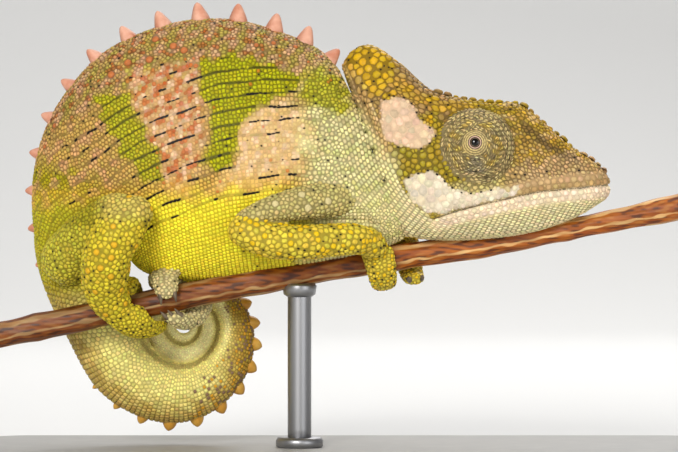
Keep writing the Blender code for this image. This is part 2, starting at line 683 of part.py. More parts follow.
def make_stand():
    """Flat base with rounded corners, and a rod up into the underside of the twig."""
    outline = []
    for corner in range(4):
        sign_x = 1 if corner in (0, 3) else -1
        sign_y = 1 if corner < 2 else -1
        centre = (sign_x * (BASE_LENGTH / 2 - BASE_CORNER), sign_y * (BASE_WIDTH / 2 - BASE_CORNER))
        for step in range(BASE_CORNER_STEPS + 1):
            angle = math.pi / 2 * (corner + step / BASE_CORNER_STEPS)
            x = centre[0] + BASE_CORNER * math.cos(angle)
            outline.append((x, centre[1] + BASE_CORNER * math.sin(angle)))
    inset = 1 - 2 * BASE_CHAMFER / BASE_WIDTH
    top = BASE_HEIGHT - BASE_CHAMFER
    rings = [[(x, y, 0.0) for x, y in outline], [(x, y, top) for x, y in outline],
             [(x * inset, y * inset, BASE_HEIGHT) for x, y in outline]]
    base = loft("stand_base", rings)
    centre, _ = twig_point(ROD_X)
    top = centre.z + LIFT - TWIG_RADIUS * 0.55
    turns = [2 * math.pi * k / ROD_SIDES for k in range(ROD_SIDES)]
    circle = [(ROD_X + ROD_RADIUS * math.cos(turn), centre.y + ROD_RADIUS * math.sin(turn))
              for turn in turns]
    rod = loft("stand_rod", [[(x, y, z) for x, y in circle] for z in (BASE_HEIGHT + GAP, top)])
    room = twig("room", GAP)
    room.location.z = LIFT * MM
    combine(rod, room, "DIFFERENCE")
    finish(base, "stand", roughness=0.35)
    finish(rod, "steel", roughness=0.3, metallic=1.0)
    base.location.z = 0.0
    rod.location.z = 0.0


def colour_of(name):
    """Which colour a piece of the animal takes."""
    if name.startswith("eyeball"):
        return "eyeball"
    if name.startswith("eye_turret"):
        return "turret"
    if name.startswith("tail"):
        return "tail"
    if name in ("abdomen", "pelvis"):
        return "flank"
    return {"head": "head", "lower_jaw": "throat", "neck": "throat", "chest": "body"}.get(name, "limb")


def main():
    for old in list(bpy.data.objects):
        bpy.data.objects.remove(old)
    pieces = {**make_trunk(), **make_tail(), **make_head(), **make_limbs()}
    clear_for_feet(pieces)
    for name, piece in pieces.items():
        tidy(piece)
        finish(piece, colour_of(name), roughness=0.15 if name.startswith("eyeball") else 0.6)
    finish(twig("perch_twig"), "bark", roughness=0.8)
    make_stand()


main()
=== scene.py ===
"""Looks of a life-size chameleon on a twig: one skin, a coat of modelled scales, eyes, claws,
spines, bark and stand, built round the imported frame.

Shapes are worked out in millimetres in the animal's own frame: it faces +X, its right side faces
-Y, and heights are measured from the lowest point of the coiled tail.  LIFT and MM turn them
into the frame's metres.
"""

import math

import bmesh
import bpy
import numpy as np
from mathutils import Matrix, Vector
from mathutils.bvhtree import BVHTree
from mathutils.kdtree import KDTree


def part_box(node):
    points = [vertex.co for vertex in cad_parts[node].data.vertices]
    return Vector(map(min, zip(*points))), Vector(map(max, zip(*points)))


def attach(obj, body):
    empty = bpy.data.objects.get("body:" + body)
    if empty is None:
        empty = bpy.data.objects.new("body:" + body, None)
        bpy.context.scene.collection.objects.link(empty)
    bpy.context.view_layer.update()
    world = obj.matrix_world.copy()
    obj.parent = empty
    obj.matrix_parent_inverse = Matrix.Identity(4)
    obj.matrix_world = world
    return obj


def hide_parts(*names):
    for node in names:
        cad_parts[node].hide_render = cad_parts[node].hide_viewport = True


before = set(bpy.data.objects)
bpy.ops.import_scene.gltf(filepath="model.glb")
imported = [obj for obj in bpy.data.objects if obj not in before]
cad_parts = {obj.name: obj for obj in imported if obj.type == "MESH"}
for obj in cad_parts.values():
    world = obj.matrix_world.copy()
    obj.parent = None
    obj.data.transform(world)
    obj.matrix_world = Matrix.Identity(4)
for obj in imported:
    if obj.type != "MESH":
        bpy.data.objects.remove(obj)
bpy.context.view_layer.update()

MM = 0.001
# Room between the toes and the twig, and between one coil of the tail and the next
GAP = 0.3
COIL_GAP = 0.08
# How deep the skin lies inside the solids, so that its scales end at their surface
COAT = 0.16
TAIL_COAT = 0.05
# Side of the voxels that join the lengths of flesh into one skin
VOXEL = 0.25
BASE_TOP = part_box("stand_base")[1].z / MM
TAIL_CLEARANCE = 1.5
LIFT = BASE_TOP + TAIL_CLEARANCE
SEED = 418
SIDES = ((-1, "right"), (1, "left"))

# ---------------------------------------------------------------- the body's own shape

TWIG_LINE = [
    (-39.0, 10.7, -3.5), (-28.0, 12.9, -2.8), (-15.3, 15.6, -1.5), (-2.6, 18.0, -0.3),
    (6.8, 19.5, 0.5), (14.1, 20.6, 1.0), (21.2, 21.75, 1.0), (30.8, 23.65, 0.8), (39.0, 25.4, 0.6),
]
TWIG_RADIUS = 1.5
# The twig is thinner for a short way near its upper end: where, over what length, by what share
WAIST_X = 26.0
WAIST_LENGTH = 6.0
WAIST_DEPTH = 0.2

# Trunk stations, nape to tail root: back x, back height, belly x, belly height, half width, offset
TRUNK = [
    (-0.8, 40.2, 6.5, 21.3, 5.1, 0.0),
    (-3.0, 42.4, 3.3, 19.9, 6.2, 0.0),
    (-7.2, 44.3, -2.8, 18.6, 7.0, 0.0),
    (-12.1, 45.6, -9.1, 17.5, 7.6, 0.1),
    (-17.1, 45.6, -14.3, 16.7, 7.7, 0.2),
    (-22.2, 44.3, -18.8, 16.8, 7.2, 0.4),
    (-26.8, 41.9, -21.8, 17.5, 6.5, 0.7),
    (-30.5, 38.1, -23.4, 18.8, 5.9, 1.1),
    (-33.0, 34.0, -23.6, 20.1, 5.4, 1.6),
    (-34.4, 29.4, -23.9, 19.4, 5.0, 2.1),
    (-34.75, 25.1, -24.0, 17.9, 4.7, 2.6),
    (-34.4, 20.9, -23.8, 15.9, 4.4, 3.0),
    (-33.5, 16.4, -23.3, 13.5, 4.1, 3.3),
]
TRUNK_END = len(TRUNK) - 1
BACK_KEEL = 0.16

TAIL_CENTRE = (-18.0, 11.8)
# Outer radii of the tail's coil, eight to a turn, the first one 45 degrees before its start
TAIL_FIRST_TURN = [22.2, 13.5, 11.7, 10.9, 9.2, 7.7, 6.4, 5.5, 5.0]
TAIL_SECOND_TURN = [4.7, 4.5, 4.55, 4.05, 3.6, 3.1, 2.65, 2.3]
RADII_PER_TURN = 8
# What is left of the coil's radius after each further turn
TAIL_SHARE = 0.44
TAIL_START = -17.0
TAIL_END = 1000.0
TAIL_ROOT_Y = 3.3
TAIL_SHIFT_Y = 2.9
TAIL_SHIFT_OVER = 200.0
# How far the first coil reaches in over the next, where the two lie apart sideways
TAIL_TUCK = 0.5
TAIL_ROOT_WIDTH = 0.82

CREST_PITCH = 4.2
CREST_FIRST = 1.1
CREST_HEIGHT = 1.7
CREST_RADIUS = 0.95

# Head stations, nape to snout: crown x, crown height, throat x, throat height, cheek, crest
HEAD = [
    (-0.4, 40.6, 6.9, 21.4, 5.0, 1.9),
    (0.8, 42.3, 9.1, 21.2, 5.4, 2.1),
    (2.9, 42.85, 11.1, 21.1, 5.8, 2.5),
    (5.8, 41.0, 12.9, 21.1, 6.0, 3.2),
    (8.8, 38.4, 14.8, 21.2, 6.0, 4.0),
    (12.1, 37.4, 16.9, 21.4, 5.6, 4.5),
    (15.7, 36.8, 19.2, 21.7, 5.0, 4.5),
    (19.0, 36.6, 21.8, 22.3, 4.4, 4.2),
    (22.0, 34.2, 24.1, 23.1, 3.7, 3.6),
    (24.8, 31.8, 26.1, 24.0, 3.1, 3.0),
    (27.2, 30.2, 27.7, 25.0, 2.4, 2.2),
    (28.7, 28.8, 28.7, 25.7, 1.35, 1.1),
    (29.1, 28.1, 29.1, 26.3, 0.7, 0.55),
]
# Head outline from throat to crown: share of the height, share of the cheek, share of the crest
HEAD_PROFILE = [
    (0.0, 0.0, 0.0), (0.015, 0.38, 0.0), (0.08, 0.68, 0.0), (0.2, 0.9, 0.0), (0.36, 1.0, 0.0),
    (0.52, 0.97, 0.0), (0.68, 0.675, 0.325), (0.82, 0.15, 0.85), (0.92, 0.0, 0.85),
    (0.98, 0.0, 0.5), (1.0, 0.0, 0.0),
]
MOUTH_LINE = [(30.5, 27.5), (26.1, 27.0), (21.2, 26.5), (16.5, 25.5), (11.8, 24.3), (9.6, 23.5)]

EYE_X = 14.2
EYE_HEIGHT = 31.3
EYE_SOCKET_Y = 3.2
EYE_AXIS = (-0.05, 1.0, 0.1)
TURRET = [(4.15, 0.0), (4.2, 1.1), (3.85, 2.1), (3.1, 3.2), (2.3, 4.0), (1.35, 4.55), (0.5, 4.75)]
EYEBALL_RADIUS = 0.95
EYEBALL_OUT = 4.15

# Limbs, each point as (x, height, y, radius)
UPPER_ARM = [
    (1.0, 25.9, -3.4, 2.4), (-1.6, 25.7, -5.2, 2.3), (-5.0, 25.1, -7.2, 2.0),
    (-8.2, 24.4, -8.2, 1.6), (-10.4, 23.2, -8.7, 1.6),
]
FOREARM = [
    (-10.9, 22.3, -8.9, 1.8), (-8.0, 21.2, -8.9, 1.95), (-3.9, 21.1, -8.0, 1.95),
    (0.3, 21.4, -6.4, 1.85), (2.2, 21.2, -4.9, 1.6),
]
LEFT_ARM_AHEAD = 3.4
LEFT_ELBOW_AHEAD = 0.6
THIGH_RIGHT = [(-30.2, 19.3, -1.5, 3.2), (-27.5, 22.1, -5.0, 2.8), (-24.8, 24.3, -7.4, 2.2)]
SHANK_RIGHT = [
    (-22.6, 24.1, -8.5, 2.1), (-24.1, 22.2, -8.9, 2.65), (-25.4, 20.1, -8.7, 2.75),
    (-25.8, 17.9, -7.9, 2.75), (-25.9, 15.9, -6.9, 2.4),
]
THIGH_LEFT = [(-29.7, 19.6, 5.0, 3.0), (-25.9, 21.8, 8.2, 2.4), (-22.6, 23.8, 9.6, 2.0)]
SHANK_LEFT = [
    (-21.4, 23.4, 9.9, 1.9), (-20.6, 22.0, 9.4, 2.0), (-19.6, 20.9, 7.8, 1.7),
    (-18.7, 19.3, 5.4, 1.35), (-18.0, 17.8, 3.6, 1.25),
]
PALMS = [
    ((2.2, 21.2, -4.9, 1.7), (3.1, 20.6, -3.7, 1.6)),
    ((6.0, 21.2, 5.2, 1.6), (6.9, 20.8, 4.3, 1.5)),
    ((-25.9, 15.6, -6.6, 2.3), (-25.2, 14.5, -5.9, 2.2)),
    ((-18.3, 17.6, 2.9, 1.4), (-18.4, 16.0, 1.9, 1.7)),
]
# Toe bundles wound round the twig: x and angle at root and tip, half widths, half thicknesses
TOES = {
    "hand_right_outer_toes": (3.1, 3.7, 22.0, -112.0, (1.9, 1.3), (1.1, 0.75), 2),
    "hand_right_inner_toes": (3.5, 4.1, 52.0, 176.0, (1.2, 0.9), (0.75, 0.6), 3),
    "hand_left_outer_toes": (7.0, 7.3, 152.0, 282.0, (1.7, 1.1), (1.1, 0.7), 2),
    "hand_left_inner_toes": (7.2, 7.4, 132.0, 74.0, (1.2, 0.9), (0.75, 0.6), 3),
    "foot_right_outer_toes": (-24.5, -21.0, 0.0, -112.0, (2.5, 1.5), (1.35, 0.8), 3),
    "foot_right_inner_toes": (-23.6, -22.2, 38.0, 176.0, (1.5, 1.0), (0.9, 0.65), 2),
    "foot_left_upper_toes": (-19.0, -19.4, 142.0, 8.0, (2.1, 1.3), (0.9, 0.75), 2),
    "foot_left_lower_toes": (-16.1, -19.3, 212.0, 322.0, (1.7, 1.25), (1.15, 0.8), 3),
}
CLAW_LENGTH = 0.85
CLAW_RADIUS = 0.34
# Angles at which rings close the round end of a limb
ROUND_END = np.radians([75.0, 55.0, 30.0])


def curve(rows, at):
    """Catmull-Rom curve through equally spaced rows, at one parameter or at many."""
    rows = np.asarray(rows, float)
    last = len(rows) - 1
    at = np.clip(np.asarray(at, float), 0.0, last)
    index = np.minimum(at.astype(int), last - 1)
    t = (at - index)[..., None]
    padded = np.vstack([2 * rows[:1] - rows[1:2], rows, 2 * rows[-1:] - rows[-2:-1]])
    before, start, end, after = (padded[index + k] for k in range(4))
    return 0.5 * (2 * start + (end - before) * t + (2 * before - 5 * start + 4 * end - after) * t ** 2
                  + (3 * start - before - 3 * end + after) * t ** 3)


def unit(vectors):
    """Vectors scaled to length one."""
    return vectors / np.maximum(np.linalg.norm(vectors, axis=-1, keepdims=True), 1e-9)


def turns_of(sides):
    """Equal turns round a full circle."""
    return np.linspace(0, 2 * np.pi, sides, endpoint=False)


def travelled_along(line):
    """Distance travelled to each point of a line."""
    return np.concatenate([[0], np.cumsum(np.linalg.norm(np.diff(line, axis=0), axis=1))])


def points_at(stops, travelled, line):
    """Points of a line at given distances along it."""
    return np.stack([np.interp(stops, travelled, column) for column in line.T], 1)


def off_axis(points, centre, axis):
    """Distance of points from an axis, how far along it they lie, and their offset across it."""
    offset = points - centre
    along = offset @ axis
    flat = offset - along[:, None] * axis
    return np.linalg.norm(flat, axis=1), along, flat


def ramp(low, high, value):
    """0 below low, 1 above high, and a smooth rise between; it falls where low is above high."""
    t = np.clip((value - low) / (high - low), 0.0, 1.0)
    return t * t * (3 - 2 * t)


def twig_point(at):
    """Point on the middle of the twig at a station of its line."""
    return curve(TWIG_LINE, at)[..., [0, 2, 1]]


def twig_frame(x):
    """Centres of the twig and its directions at given x."""
    xs = [row[0] for row in TWIG_LINE]
    at = np.interp(x, xs, range(len(xs)))
    return twig_point(at), unit(twig_point(at + 0.05) - twig_point(at - 0.05))


def trunk_surface(at, angle, grow=0.0):
    """Points on the trunk: stations at, and angles of 90 degrees on the back, 180 on the right."""
    back_x, back_z, belly_x, belly_z, width, offset = np.moveaxis(curve(TRUNK, at), -1, 0)
    half_x, half_z = (back_x - belly_x) / 2, (back_z - belly_z) / 2
    rise = np.sin(angle) * (1 + grow / np.hypot(half_x, half_z))
    spread = (width + grow) * np.cos(angle) * (1 - BACK_KEEL * np.sin(angle))
    return np.stack([(back_x + belly_x) / 2 + half_x * rise, offset + spread,
                     (back_z + belly_z) / 2 + half_z * rise], -1)


def coil_radius(degrees):
    """Outer radius of the tail's spiral after a turn of so many degrees."""
    radii = TAIL_FIRST_TURN + TAIL_SECOND_TURN
    while len(radii) < 5 * RADII_PER_TURN:
        radii.append(radii[-RADII_PER_TURN] * TAIL_SHARE)
    return curve(np.array(radii)[:, None], np.asarray(degrees) / (360 / RADII_PER_TURN) + 1)[..., 0]


def tail_frame(degrees):
    """Middle, outward direction, half thickness and half width of the tail."""
    degrees = np.asarray(degrees, float)
    outer = coil_radius(degrees)
    ease = ramp(TAIL_START, TAIL_START + TAIL_SHIFT_OVER, degrees)
    inner = coil_radius(degrees + 360) + COIL_GAP - TAIL_TUCK * (1 - ease)
    angle = np.radians(180 + degrees)
    outward = np.stack([np.cos(angle), np.zeros_like(angle), np.sin(angle)], -1)
    half = (outer - inner) / 2
    shift = TAIL_ROOT_Y + TAIL_SHIFT_Y * ease
    middle = np.stack([np.full_like(shift, TAIL_CENTRE[0]), shift, np.full_like(shift, TAIL_CENTRE[1])], -1)
    width = half * (TAIL_ROOT_WIDTH + 0.1 * ease)
    return middle + outward * ((outer + inner) / 2)[..., None], outward, half, width


def tail_surface(degrees, angle, grow=0.0):
    """Points on the tail, at turns of the spiral and angles round its section."""
    middle, outward, half, width = tail_frame(degrees)
    aside = ((width + grow) * np.cos(angle))[..., None] * np.array([0.0, 1.0, 0.0])
    return middle + outward * ((half + grow) * np.sin(angle))[..., None] + aside


def head_surface(at, share, side, grow=0.0):
    """Points on the head: stations at, share 0 to 10 from throat to crown, on one side."""
    crown_x, crown_z, throat_x, throat_z, cheek, crest = np.moveaxis(curve(HEAD, at), -1, 0)
    height, by_cheek, by_crest = np.moveaxis(curve(HEAD_PROFILE, share), -1, 0)
    spread = np.maximum(by_cheek * cheek + by_crest * crest, 0.0)
    spread = spread * (1 + grow / np.maximum(cheek, 1.0))
    tall = np.hypot(crown_x - throat_x, crown_z - throat_z)
    height = height + grow / tall * (2 * height - 1)
    return np.stack([throat_x + (crown_x - throat_x) * height, side * spread,
                     throat_z + (crown_z - throat_z) * height], -1)


def turret_frame(side):
    """Foot, axis and two directions across it of the eye turret on one side."""
    origin = np.array([EYE_X, EYE_SOCKET_Y * side, EYE_HEIGHT])
    axis = unit(np.array([EYE_AXIS[0], EYE_AXIS[1] * side, EYE_AXIS[2]]))
    across = unit(np.cross(axis, (0.0, 0.0, 1.0)))
    return origin, axis, across, np.cross(across, axis)


def turret_surface(share, angle, side, grow=0.0):
    """Points on an eye turret: share 0 at its foot to 6 at its top."""
    origin, axis, across, up = turret_frame(side)
    radius, out = np.moveaxis(curve(TURRET, share), -1, 0)
    turn = np.cos(angle)[..., None] * across + np.sin(angle)[..., None] * up
    return origin + axis * (out + grow)[..., None] + turn * (radius + grow)[..., None]


def limb_rings(line, grow=0.0, sides=28):
    """Rings of a tapering limb with round ends, along a smooth line of (x, height, y, radius)."""
    count = 8 * (len(line) - 1)
    rows = curve(line, np.linspace(0, len(line) - 1, count + 1))
    centres, radii = rows[:, [0, 2, 1]], rows[:, 3] + grow
    heading = unit(np.gradient(centres, axis=0))

    def round_end(end, sign, angles):
        """Smaller and smaller rings that close one end."""
        ahead = sign * heading[end] * radii[end]
        return [(centres[end] + ahead * math.sin(a), radii[end] * math.cos(a), heading[end]) for a in angles]

    stops = round_end(0, -1, ROUND_END) + list(zip(centres, radii, heading))
    stops += round_end(-1, 1, ROUND_END[::-1])
    side = unit(np.cross(heading[0], (0.3, 0.2, 0.9)))
    turns = turns_of(sides)[:, None]
    rings = []
    for centre, radius, way in stops:
        side = unit(side - way * np.dot(side, way))
        rings.append(centre + radius * (np.cos(turns) * side + np.sin(turns) * np.cross(way, side)))
    return np.array(rings)


def mirrored(line, ahead):
    """The same limb on the left side, reaching further forward towards its foot."""
    last = len(line) - 1
    return [(x + ahead * k / last, z, -y, radius) for k, (x, z, y, radius) in enumerate(line)]


def toe_frame(spec, share):
    """Centre, directions and half sizes of a toe bundle at a share of its way round the twig."""
    x_root, x_tip, angle_root, angle_tip, widths, thicks, _ = spec
    centre, along = twig_frame(x_root + (x_tip - x_root) * share)
    side = np.array([0.0, -1.0, 0.0])
    side = unit(side - along * np.dot(side, along))
    up = np.cross(side, along)
    up = up if up[2] > 0 else -up
    angle = math.radians(angle_root + (angle_tip - angle_root) * share)
    outward = side * math.cos(angle) + up * math.sin(angle)
    width = widths[0] + (widths[1] - widths[0]) * max(share, 0.0) ** 1.5
    thick = thicks[0] + (thicks[1] - thicks[0]) * share
    return centre + outward * (TWIG_RADIUS + GAP + 0.1 + thick), along, outward, width, thick


def toe_rings(spec, grow=0.0, sides=24, steps=14):
    """Rings of a mitten of fused toes wound round the twig."""
    turns = turns_of(sides)[:, None]
    stops = [(-0.06, 0.4), (-0.03, 0.75)] + [(k / steps, 1.0) for k in range(steps)]
    stops += [(0.96, 0.9), (1.0, 0.7), (1.03, 0.4)]
    rings = []
    for share, size in stops:
        centre, along, outward, width, thick = toe_frame(spec, share)
        rings.append(centre + along * (width + grow) * size * np.cos(turns)
                     + outward * (thick + grow) * size * np.sin(turns))
    return np.array(rings)


# ---------------------------------------------------------------- meshes

def to_frame(points):
    """Animal millimetres to the frame's metres."""
    points = np.array(points, float)
    points[..., 2] += LIFT
    return points * MM


def from_frame(points):
    """The frame's metres to animal millimetres."""
    points = np.array(points, float) / MM
    points[..., 2] -= LIFT
    return points


def new_object(name, data):
    """A new object, placed in the scene."""
    piece = bpy.data.objects.new(name, data)
    bpy.context.scene.collection.objects.link(piece)
    return piece


def new_piece(name, points, faces):
    """A smooth mesh object from animal-millimetre points and triangles."""
    points = to_frame(points)
    faces = np.asarray(faces, np.int32)
    mesh = bpy.data.meshes.new(name)
    mesh.vertices.add(len(points))
    mesh.vertices.foreach_set("co", points.astype(np.float32).ravel())
    mesh.loops.add(faces.size)
    mesh.loops.foreach_set("vertex_index", faces.ravel())
    mesh.polygons.add(len(faces))
    mesh.polygons.foreach_set("loop_start", np.arange(0, faces.size, faces.shape[1], dtype=np.int32))
    mesh.update(calc_edges=True)
    mesh.validate()
    mesh.shade_smooth()
    return new_object(name, mesh)


def band_faces(low, high, sides):
    """Triangles between two rings of points that start at given numbers."""
    k = np.arange(sides)
    following = (k + 1) % sides
    return [np.stack([low + k, low + following, high + following], 1),
            np.stack([low + k, high + following, high + k], 1)]


def grid_faces(rings, sides):
    """Triangles of a tube of equal rings, with a fan over each end."""
    k = np.arange(sides)
    following = (k + 1) % sides
    last, hub = (rings - 1) * sides, rings * sides
    faces = [face for low in range(0, last, sides) for face in band_faces(low, low + sides, sides)]
    faces.append(np.stack([following, k, np.full(sides, hub)], 1))
    faces.append(np.stack([last + k, last + following, np.full(sides, hub + 1)], 1))
    return np.vstack(faces)


def tube(rings):
    """Points and outward triangles of a closed tube."""
    rings = np.asarray(rings)
    count, sides = rings.shape[:2]
    points = np.vstack([rings.reshape(-1, 3), rings[0].mean(0), rings[-1].mean(0)])
    faces = grid_faces(count, sides)
    corners = points[faces]
    volume = np.einsum("ij,ij->i", corners[:, 0], np.cross(corners[:, 1], corners[:, 2])).sum()
    return points, faces if volume > 0 else faces[:, ::-1]


def joined(parts):
    """Several (points, triangles) as one."""
    points, faces, count = [], [], 0
    for part_points, part_faces in parts:
        points.append(part_points)
        faces.append(part_faces + count)
        count += len(part_points)
    return np.vstack(points), np.vstack(faces)


# ---------------------------------------------------------------- the skin

def limb_lines():
    """Every limb's line, then the short lengths that fill the bends between them."""
    upper, fore = mirrored(UPPER_ARM, LEFT_ELBOW_AHEAD), mirrored(FOREARM, LEFT_ARM_AHEAD)
    limbs = [UPPER_ARM, FOREARM, upper, fore, THIGH_RIGHT, SHANK_RIGHT, THIGH_LEFT, SHANK_LEFT]
    bends = [(UPPER_ARM, FOREARM), (upper, fore), (THIGH_RIGHT, SHANK_RIGHT), (THIGH_LEFT, SHANK_LEFT),
             (SHANK_RIGHT, PALMS[2]), (SHANK_LEFT, PALMS[3]), (FOREARM, PALMS[0][1:]), (fore, PALMS[1][1:])]
    return limbs + PALMS + [(before[-1], after[0]) for before, after in bends]


def body_tubes(grow):
    """Every length of flesh as a closed tube, grown by so many millimetres."""
    full = turns_of(72)[None, :]
    tubes = [tube(trunk_surface(np.linspace(0, TRUNK_END, 160)[:, None], full, grow))]
    turn = np.linspace(TAIL_START - 14, TAIL_END, 380)[:, None]
    tubes.append(tube(tail_surface(turn, full[:, ::2], grow + COAT - TAIL_COAT)))
    share = np.linspace(0, 10, 46)
    stations = np.linspace(0, len(HEAD) - 1, 130)[:, None]
    right = head_surface(stations, share[None, :], -1, grow)
    left = head_surface(stations, share[None, -2:0:-1], 1, grow)
    tubes.append(tube(np.concatenate([right, left], 1)))
    shares = np.linspace(0, len(TURRET) - 1, 40)[:, None]
    tubes += [tube(turret_surface(shares, full[:, ::2], side, grow)) for side in (-1, 1)]
    tubes += [tube(limb_rings(line, grow)) for line in limb_lines()]
    tubes += [tube(toe_rings(spec, grow)) for spec in TOES.values()]
    return tubes


def evaluated_mesh(piece):
    """The piece's mesh with its modifiers applied."""
    graph = bpy.context.evaluated_depsgraph_get()
    return bpy.data.meshes.new_from_object(piece.evaluated_get(graph))


def mesh_points(mesh):
    """Vertices of a frame mesh in animal millimetres."""
    points = np.zeros(len(mesh.vertices) * 3, np.float32)
    mesh.vertices.foreach_get("co", points)
    return from_frame(points.reshape(-1, 3))


def mesh_triangles(mesh):
    """Vertex numbers of a mesh's triangles."""
    mesh.calc_loop_triangles()
    faces = np.zeros(len(mesh.loop_triangles) * 3, np.int32)
    mesh.loop_triangles.foreach_get("vertices", faces)
    return faces.reshape(-1, 3)


def vertex_normals(points, faces):
    """Smooth unit normals."""
    corners = points[faces]
    face = np.cross(corners[:, 1] - corners[:, 0], corners[:, 2] - corners[:, 0])
    normals = np.zeros_like(points)
    for axis in range(3):
        for corner in range(3):
            normals[:, axis] += np.bincount(faces[:, corner], face[:, axis], len(points))
    return unit(normals)


def smoothed(points, faces, rounds, strength=0.6, back=-0.62):
    """Points relaxed towards their neighbours without losing volume."""
    one, other = np.vstack([faces[:, [0, 1]], faces[:, [1, 2]], faces[:, [2, 0]]]).T
    count = np.bincount(one, minlength=len(points)) + np.bincount(other, minlength=len(points))
    for turn in range(2 * rounds):
        total = [np.bincount(one, column[other], len(points)) + np.bincount(other, column[one], len(points))
                 for column in points.T]
        mean = np.stack(total, 1) / count[:, None]
        points = points + (mean - points) * (strength if turn % 2 == 0 else back)
    return points


def line_distance(points, line):
    """Distance in the side view from points to a line of (x, height)."""
    flat = points[:, [0, 2]]
    best = np.full(len(points), np.inf)
    for start, end in zip(line, line[1:]):
        start, end = np.array(start), np.array(end)
        way = end - start
        t = np.clip((flat - start) @ way / (way @ way), 0, 1)
        best = np.minimum(best, np.linalg.norm(flat - start - t[:, None] * way, axis=1))
    return best


def outline_distance(points, outline):
    """Distance in the side view to an outline, below zero inside it."""
    closed = list(outline) + [outline[0]]
    distance = line_distance(points, closed)
    x, z = points[:, 0], points[:, 2]
    inside = np.zeros(len(points), bool)
    for (x0, z0), (x1, z1) in zip(closed, closed[1:]):
        if z0 != z1:
            crosses = ((z0 > z) != (z1 > z)) & (x < (x1 - x0) * (z - z0) / (z1 - z0) + x0)
            inside ^= crosses
    return np.where(inside, -distance, distance)

# Sine waves in each sum, and the height at which a sum counts as 1
WAVES_SUMMED = 7
WAVES_HIGHEST = 3.2


def waves(points, pitch, phase=0.0):
    """Smooth made-up variation between -1 and 1, about pitch millimetres across."""
    rng = np.random.default_rng(int(pitch * 100) + int(phase * 10) + 7)
    total = np.zeros(len(points))
    for _ in range(WAVES_SUMMED):
        way = unit(rng.normal(size=3)) * rng.uniform(0.7, 1.5) * 2 * np.pi / pitch
        total += np.sin(points @ way + rng.uniform(0, 2 * np.pi))
    return total / WAVES_HIGHEST


FOLD_LINE = [(-0.3, 41.0), (1.0, 38.0), (2.1, 35.5), (3.1, 33.3), (3.9, 31.7)]
# Line of the painted shade beneath the canthal ridge, as (x, height)
CANTHAL_SHADE_LINE = [(19.4, 33.6), (22.0, 31.6), (25.2, 30.0)]
BROW_LINE = [(4.0, 39.6), (7.6, 36.9), (10.6, 35.7), (13.2, 36.0), (16.4, 36.4), (19.4, 35.6),
             (22.2, 33.2), (25.0, 30.9), (27.6, 29.4)]
ELBOW_FOLD = [(-10.0, 23.4), (-6.5, 23.2), (-3.0, 23.4), (1.6, 23.5), (4.4, 22.7)]
TEMPLE_HOLLOW = (7.0, 34.3)
FAR_AWAY = 99.0


def turret_place(points):
    """Distance from the nearer turret's axis, distance along it, and angle round it."""
    radius = np.full(len(points), FAR_AWAY)
    out = np.zeros(len(points))
    angle = np.zeros(len(points))
    for side in (-1, 1):
        origin, axis, across, up = turret_frame(side)
        distance, along, flat = off_axis(points, origin, axis)
        here = (points[:, 1] * side > 0) & (along > -1.0)
        radius = np.where(here, distance, radius)
        out = np.where(here, along, out)
        angle = np.where(here, np.arctan2(flat @ up, flat @ across * side), angle)
    return radius, out, angle


def groove(distance, width):
    """1 on the middle of a soft-edged groove, falling to 0 on both sides."""
    return np.exp(-(distance / width) ** 2)


def fold_depth(points):
    """How far the skin's own folds raise or sink it, in millimetres."""
    x, y, z = points.T
    on_head = ramp(-1.0, 1.5, x) * ramp(20.0, 22.0, z)
    sides = ramp(1.0, 3.0, np.abs(y))
    depth = -0.26 * on_head * groove(line_distance(points, MOUTH_LINE), 0.2)

    fold = line_distance(points, FOLD_LINE)
    fade = ramp(30.5, 34.0, z)
    depth += fade * sides * (-0.5 * groove(fold, 0.36) + 0.2 * groove(fold - 0.9, 0.5))

    at = [row[0] for row in HEAD]
    crown = np.interp(x, at, [row[1] for row in HEAD])
    half = np.interp(x, at, [row[5] for row in HEAD])
    on_top = ramp(8.0, 11.0, x) * ramp(-1.6, -0.6, z - crown)
    depth += -0.55 * on_top * ramp(0.55, 0.25, np.abs(y) / half)
    temple = np.hypot(x - TEMPLE_HOLLOW[0], (z - TEMPLE_HOLLOW[1]) * 1.2)
    depth += -0.3 * on_head * sides * groove(temple, 2.2)

    radius, out, _ = turret_place(points)
    on_turret = (out > 0.2) & (radius < 5.2)
    rounds = 0.05 * np.sin(radius * 2 * np.pi / 0.74) * ramp(1.3, 1.8, radius)
    rounds += -0.1 * groove(radius - 3.1, 0.14) - 0.24 * groove(radius - 4.45, 0.28)
    depth += np.where(on_turret & (on_head > 0.5), rounds, 0.0)

    near = (np.abs(y) > 4.0) & (x > -11) & (x < 5)
    depth += np.where(near, -0.2 * groove(line_distance(points, ELBOW_FOLD), 0.25), 0.0)
    return depth


def make_skin():
    """One skin over the whole animal; returns its points, triangles and normals."""
    rough = new_piece("rough_body", *joined(body_tubes(-COAT)))
    remesh = rough.modifiers.new("remesh", "REMESH")
    remesh.mode = "VOXEL"
    remesh.voxel_size = VOXEL * MM
    mesh = evaluated_mesh(rough)
    bpy.data.objects.remove(rough)
    points, faces = mesh_points(mesh), mesh_triangles(mesh)
    points = smoothed(points, faces, 5)
    normals = vertex_normals(points, faces)
    points = points + normals * fold_depth(points)[:, None]
    return points, faces, vertex_normals(points, faces)

FLESH = [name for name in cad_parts
         if not name.startswith(("stand_", "perch", "eyeball"))]
NODE_NAMES = sorted(FLESH)
NODE_CODE = {name: code for code, name in enumerate(NODE_NAMES)}


def codes(prefixes):
    """Numbers of the flesh nodes whose names start with a prefix."""
    return [code for name, code in NODE_CODE.items() if name.startswith(prefixes)]

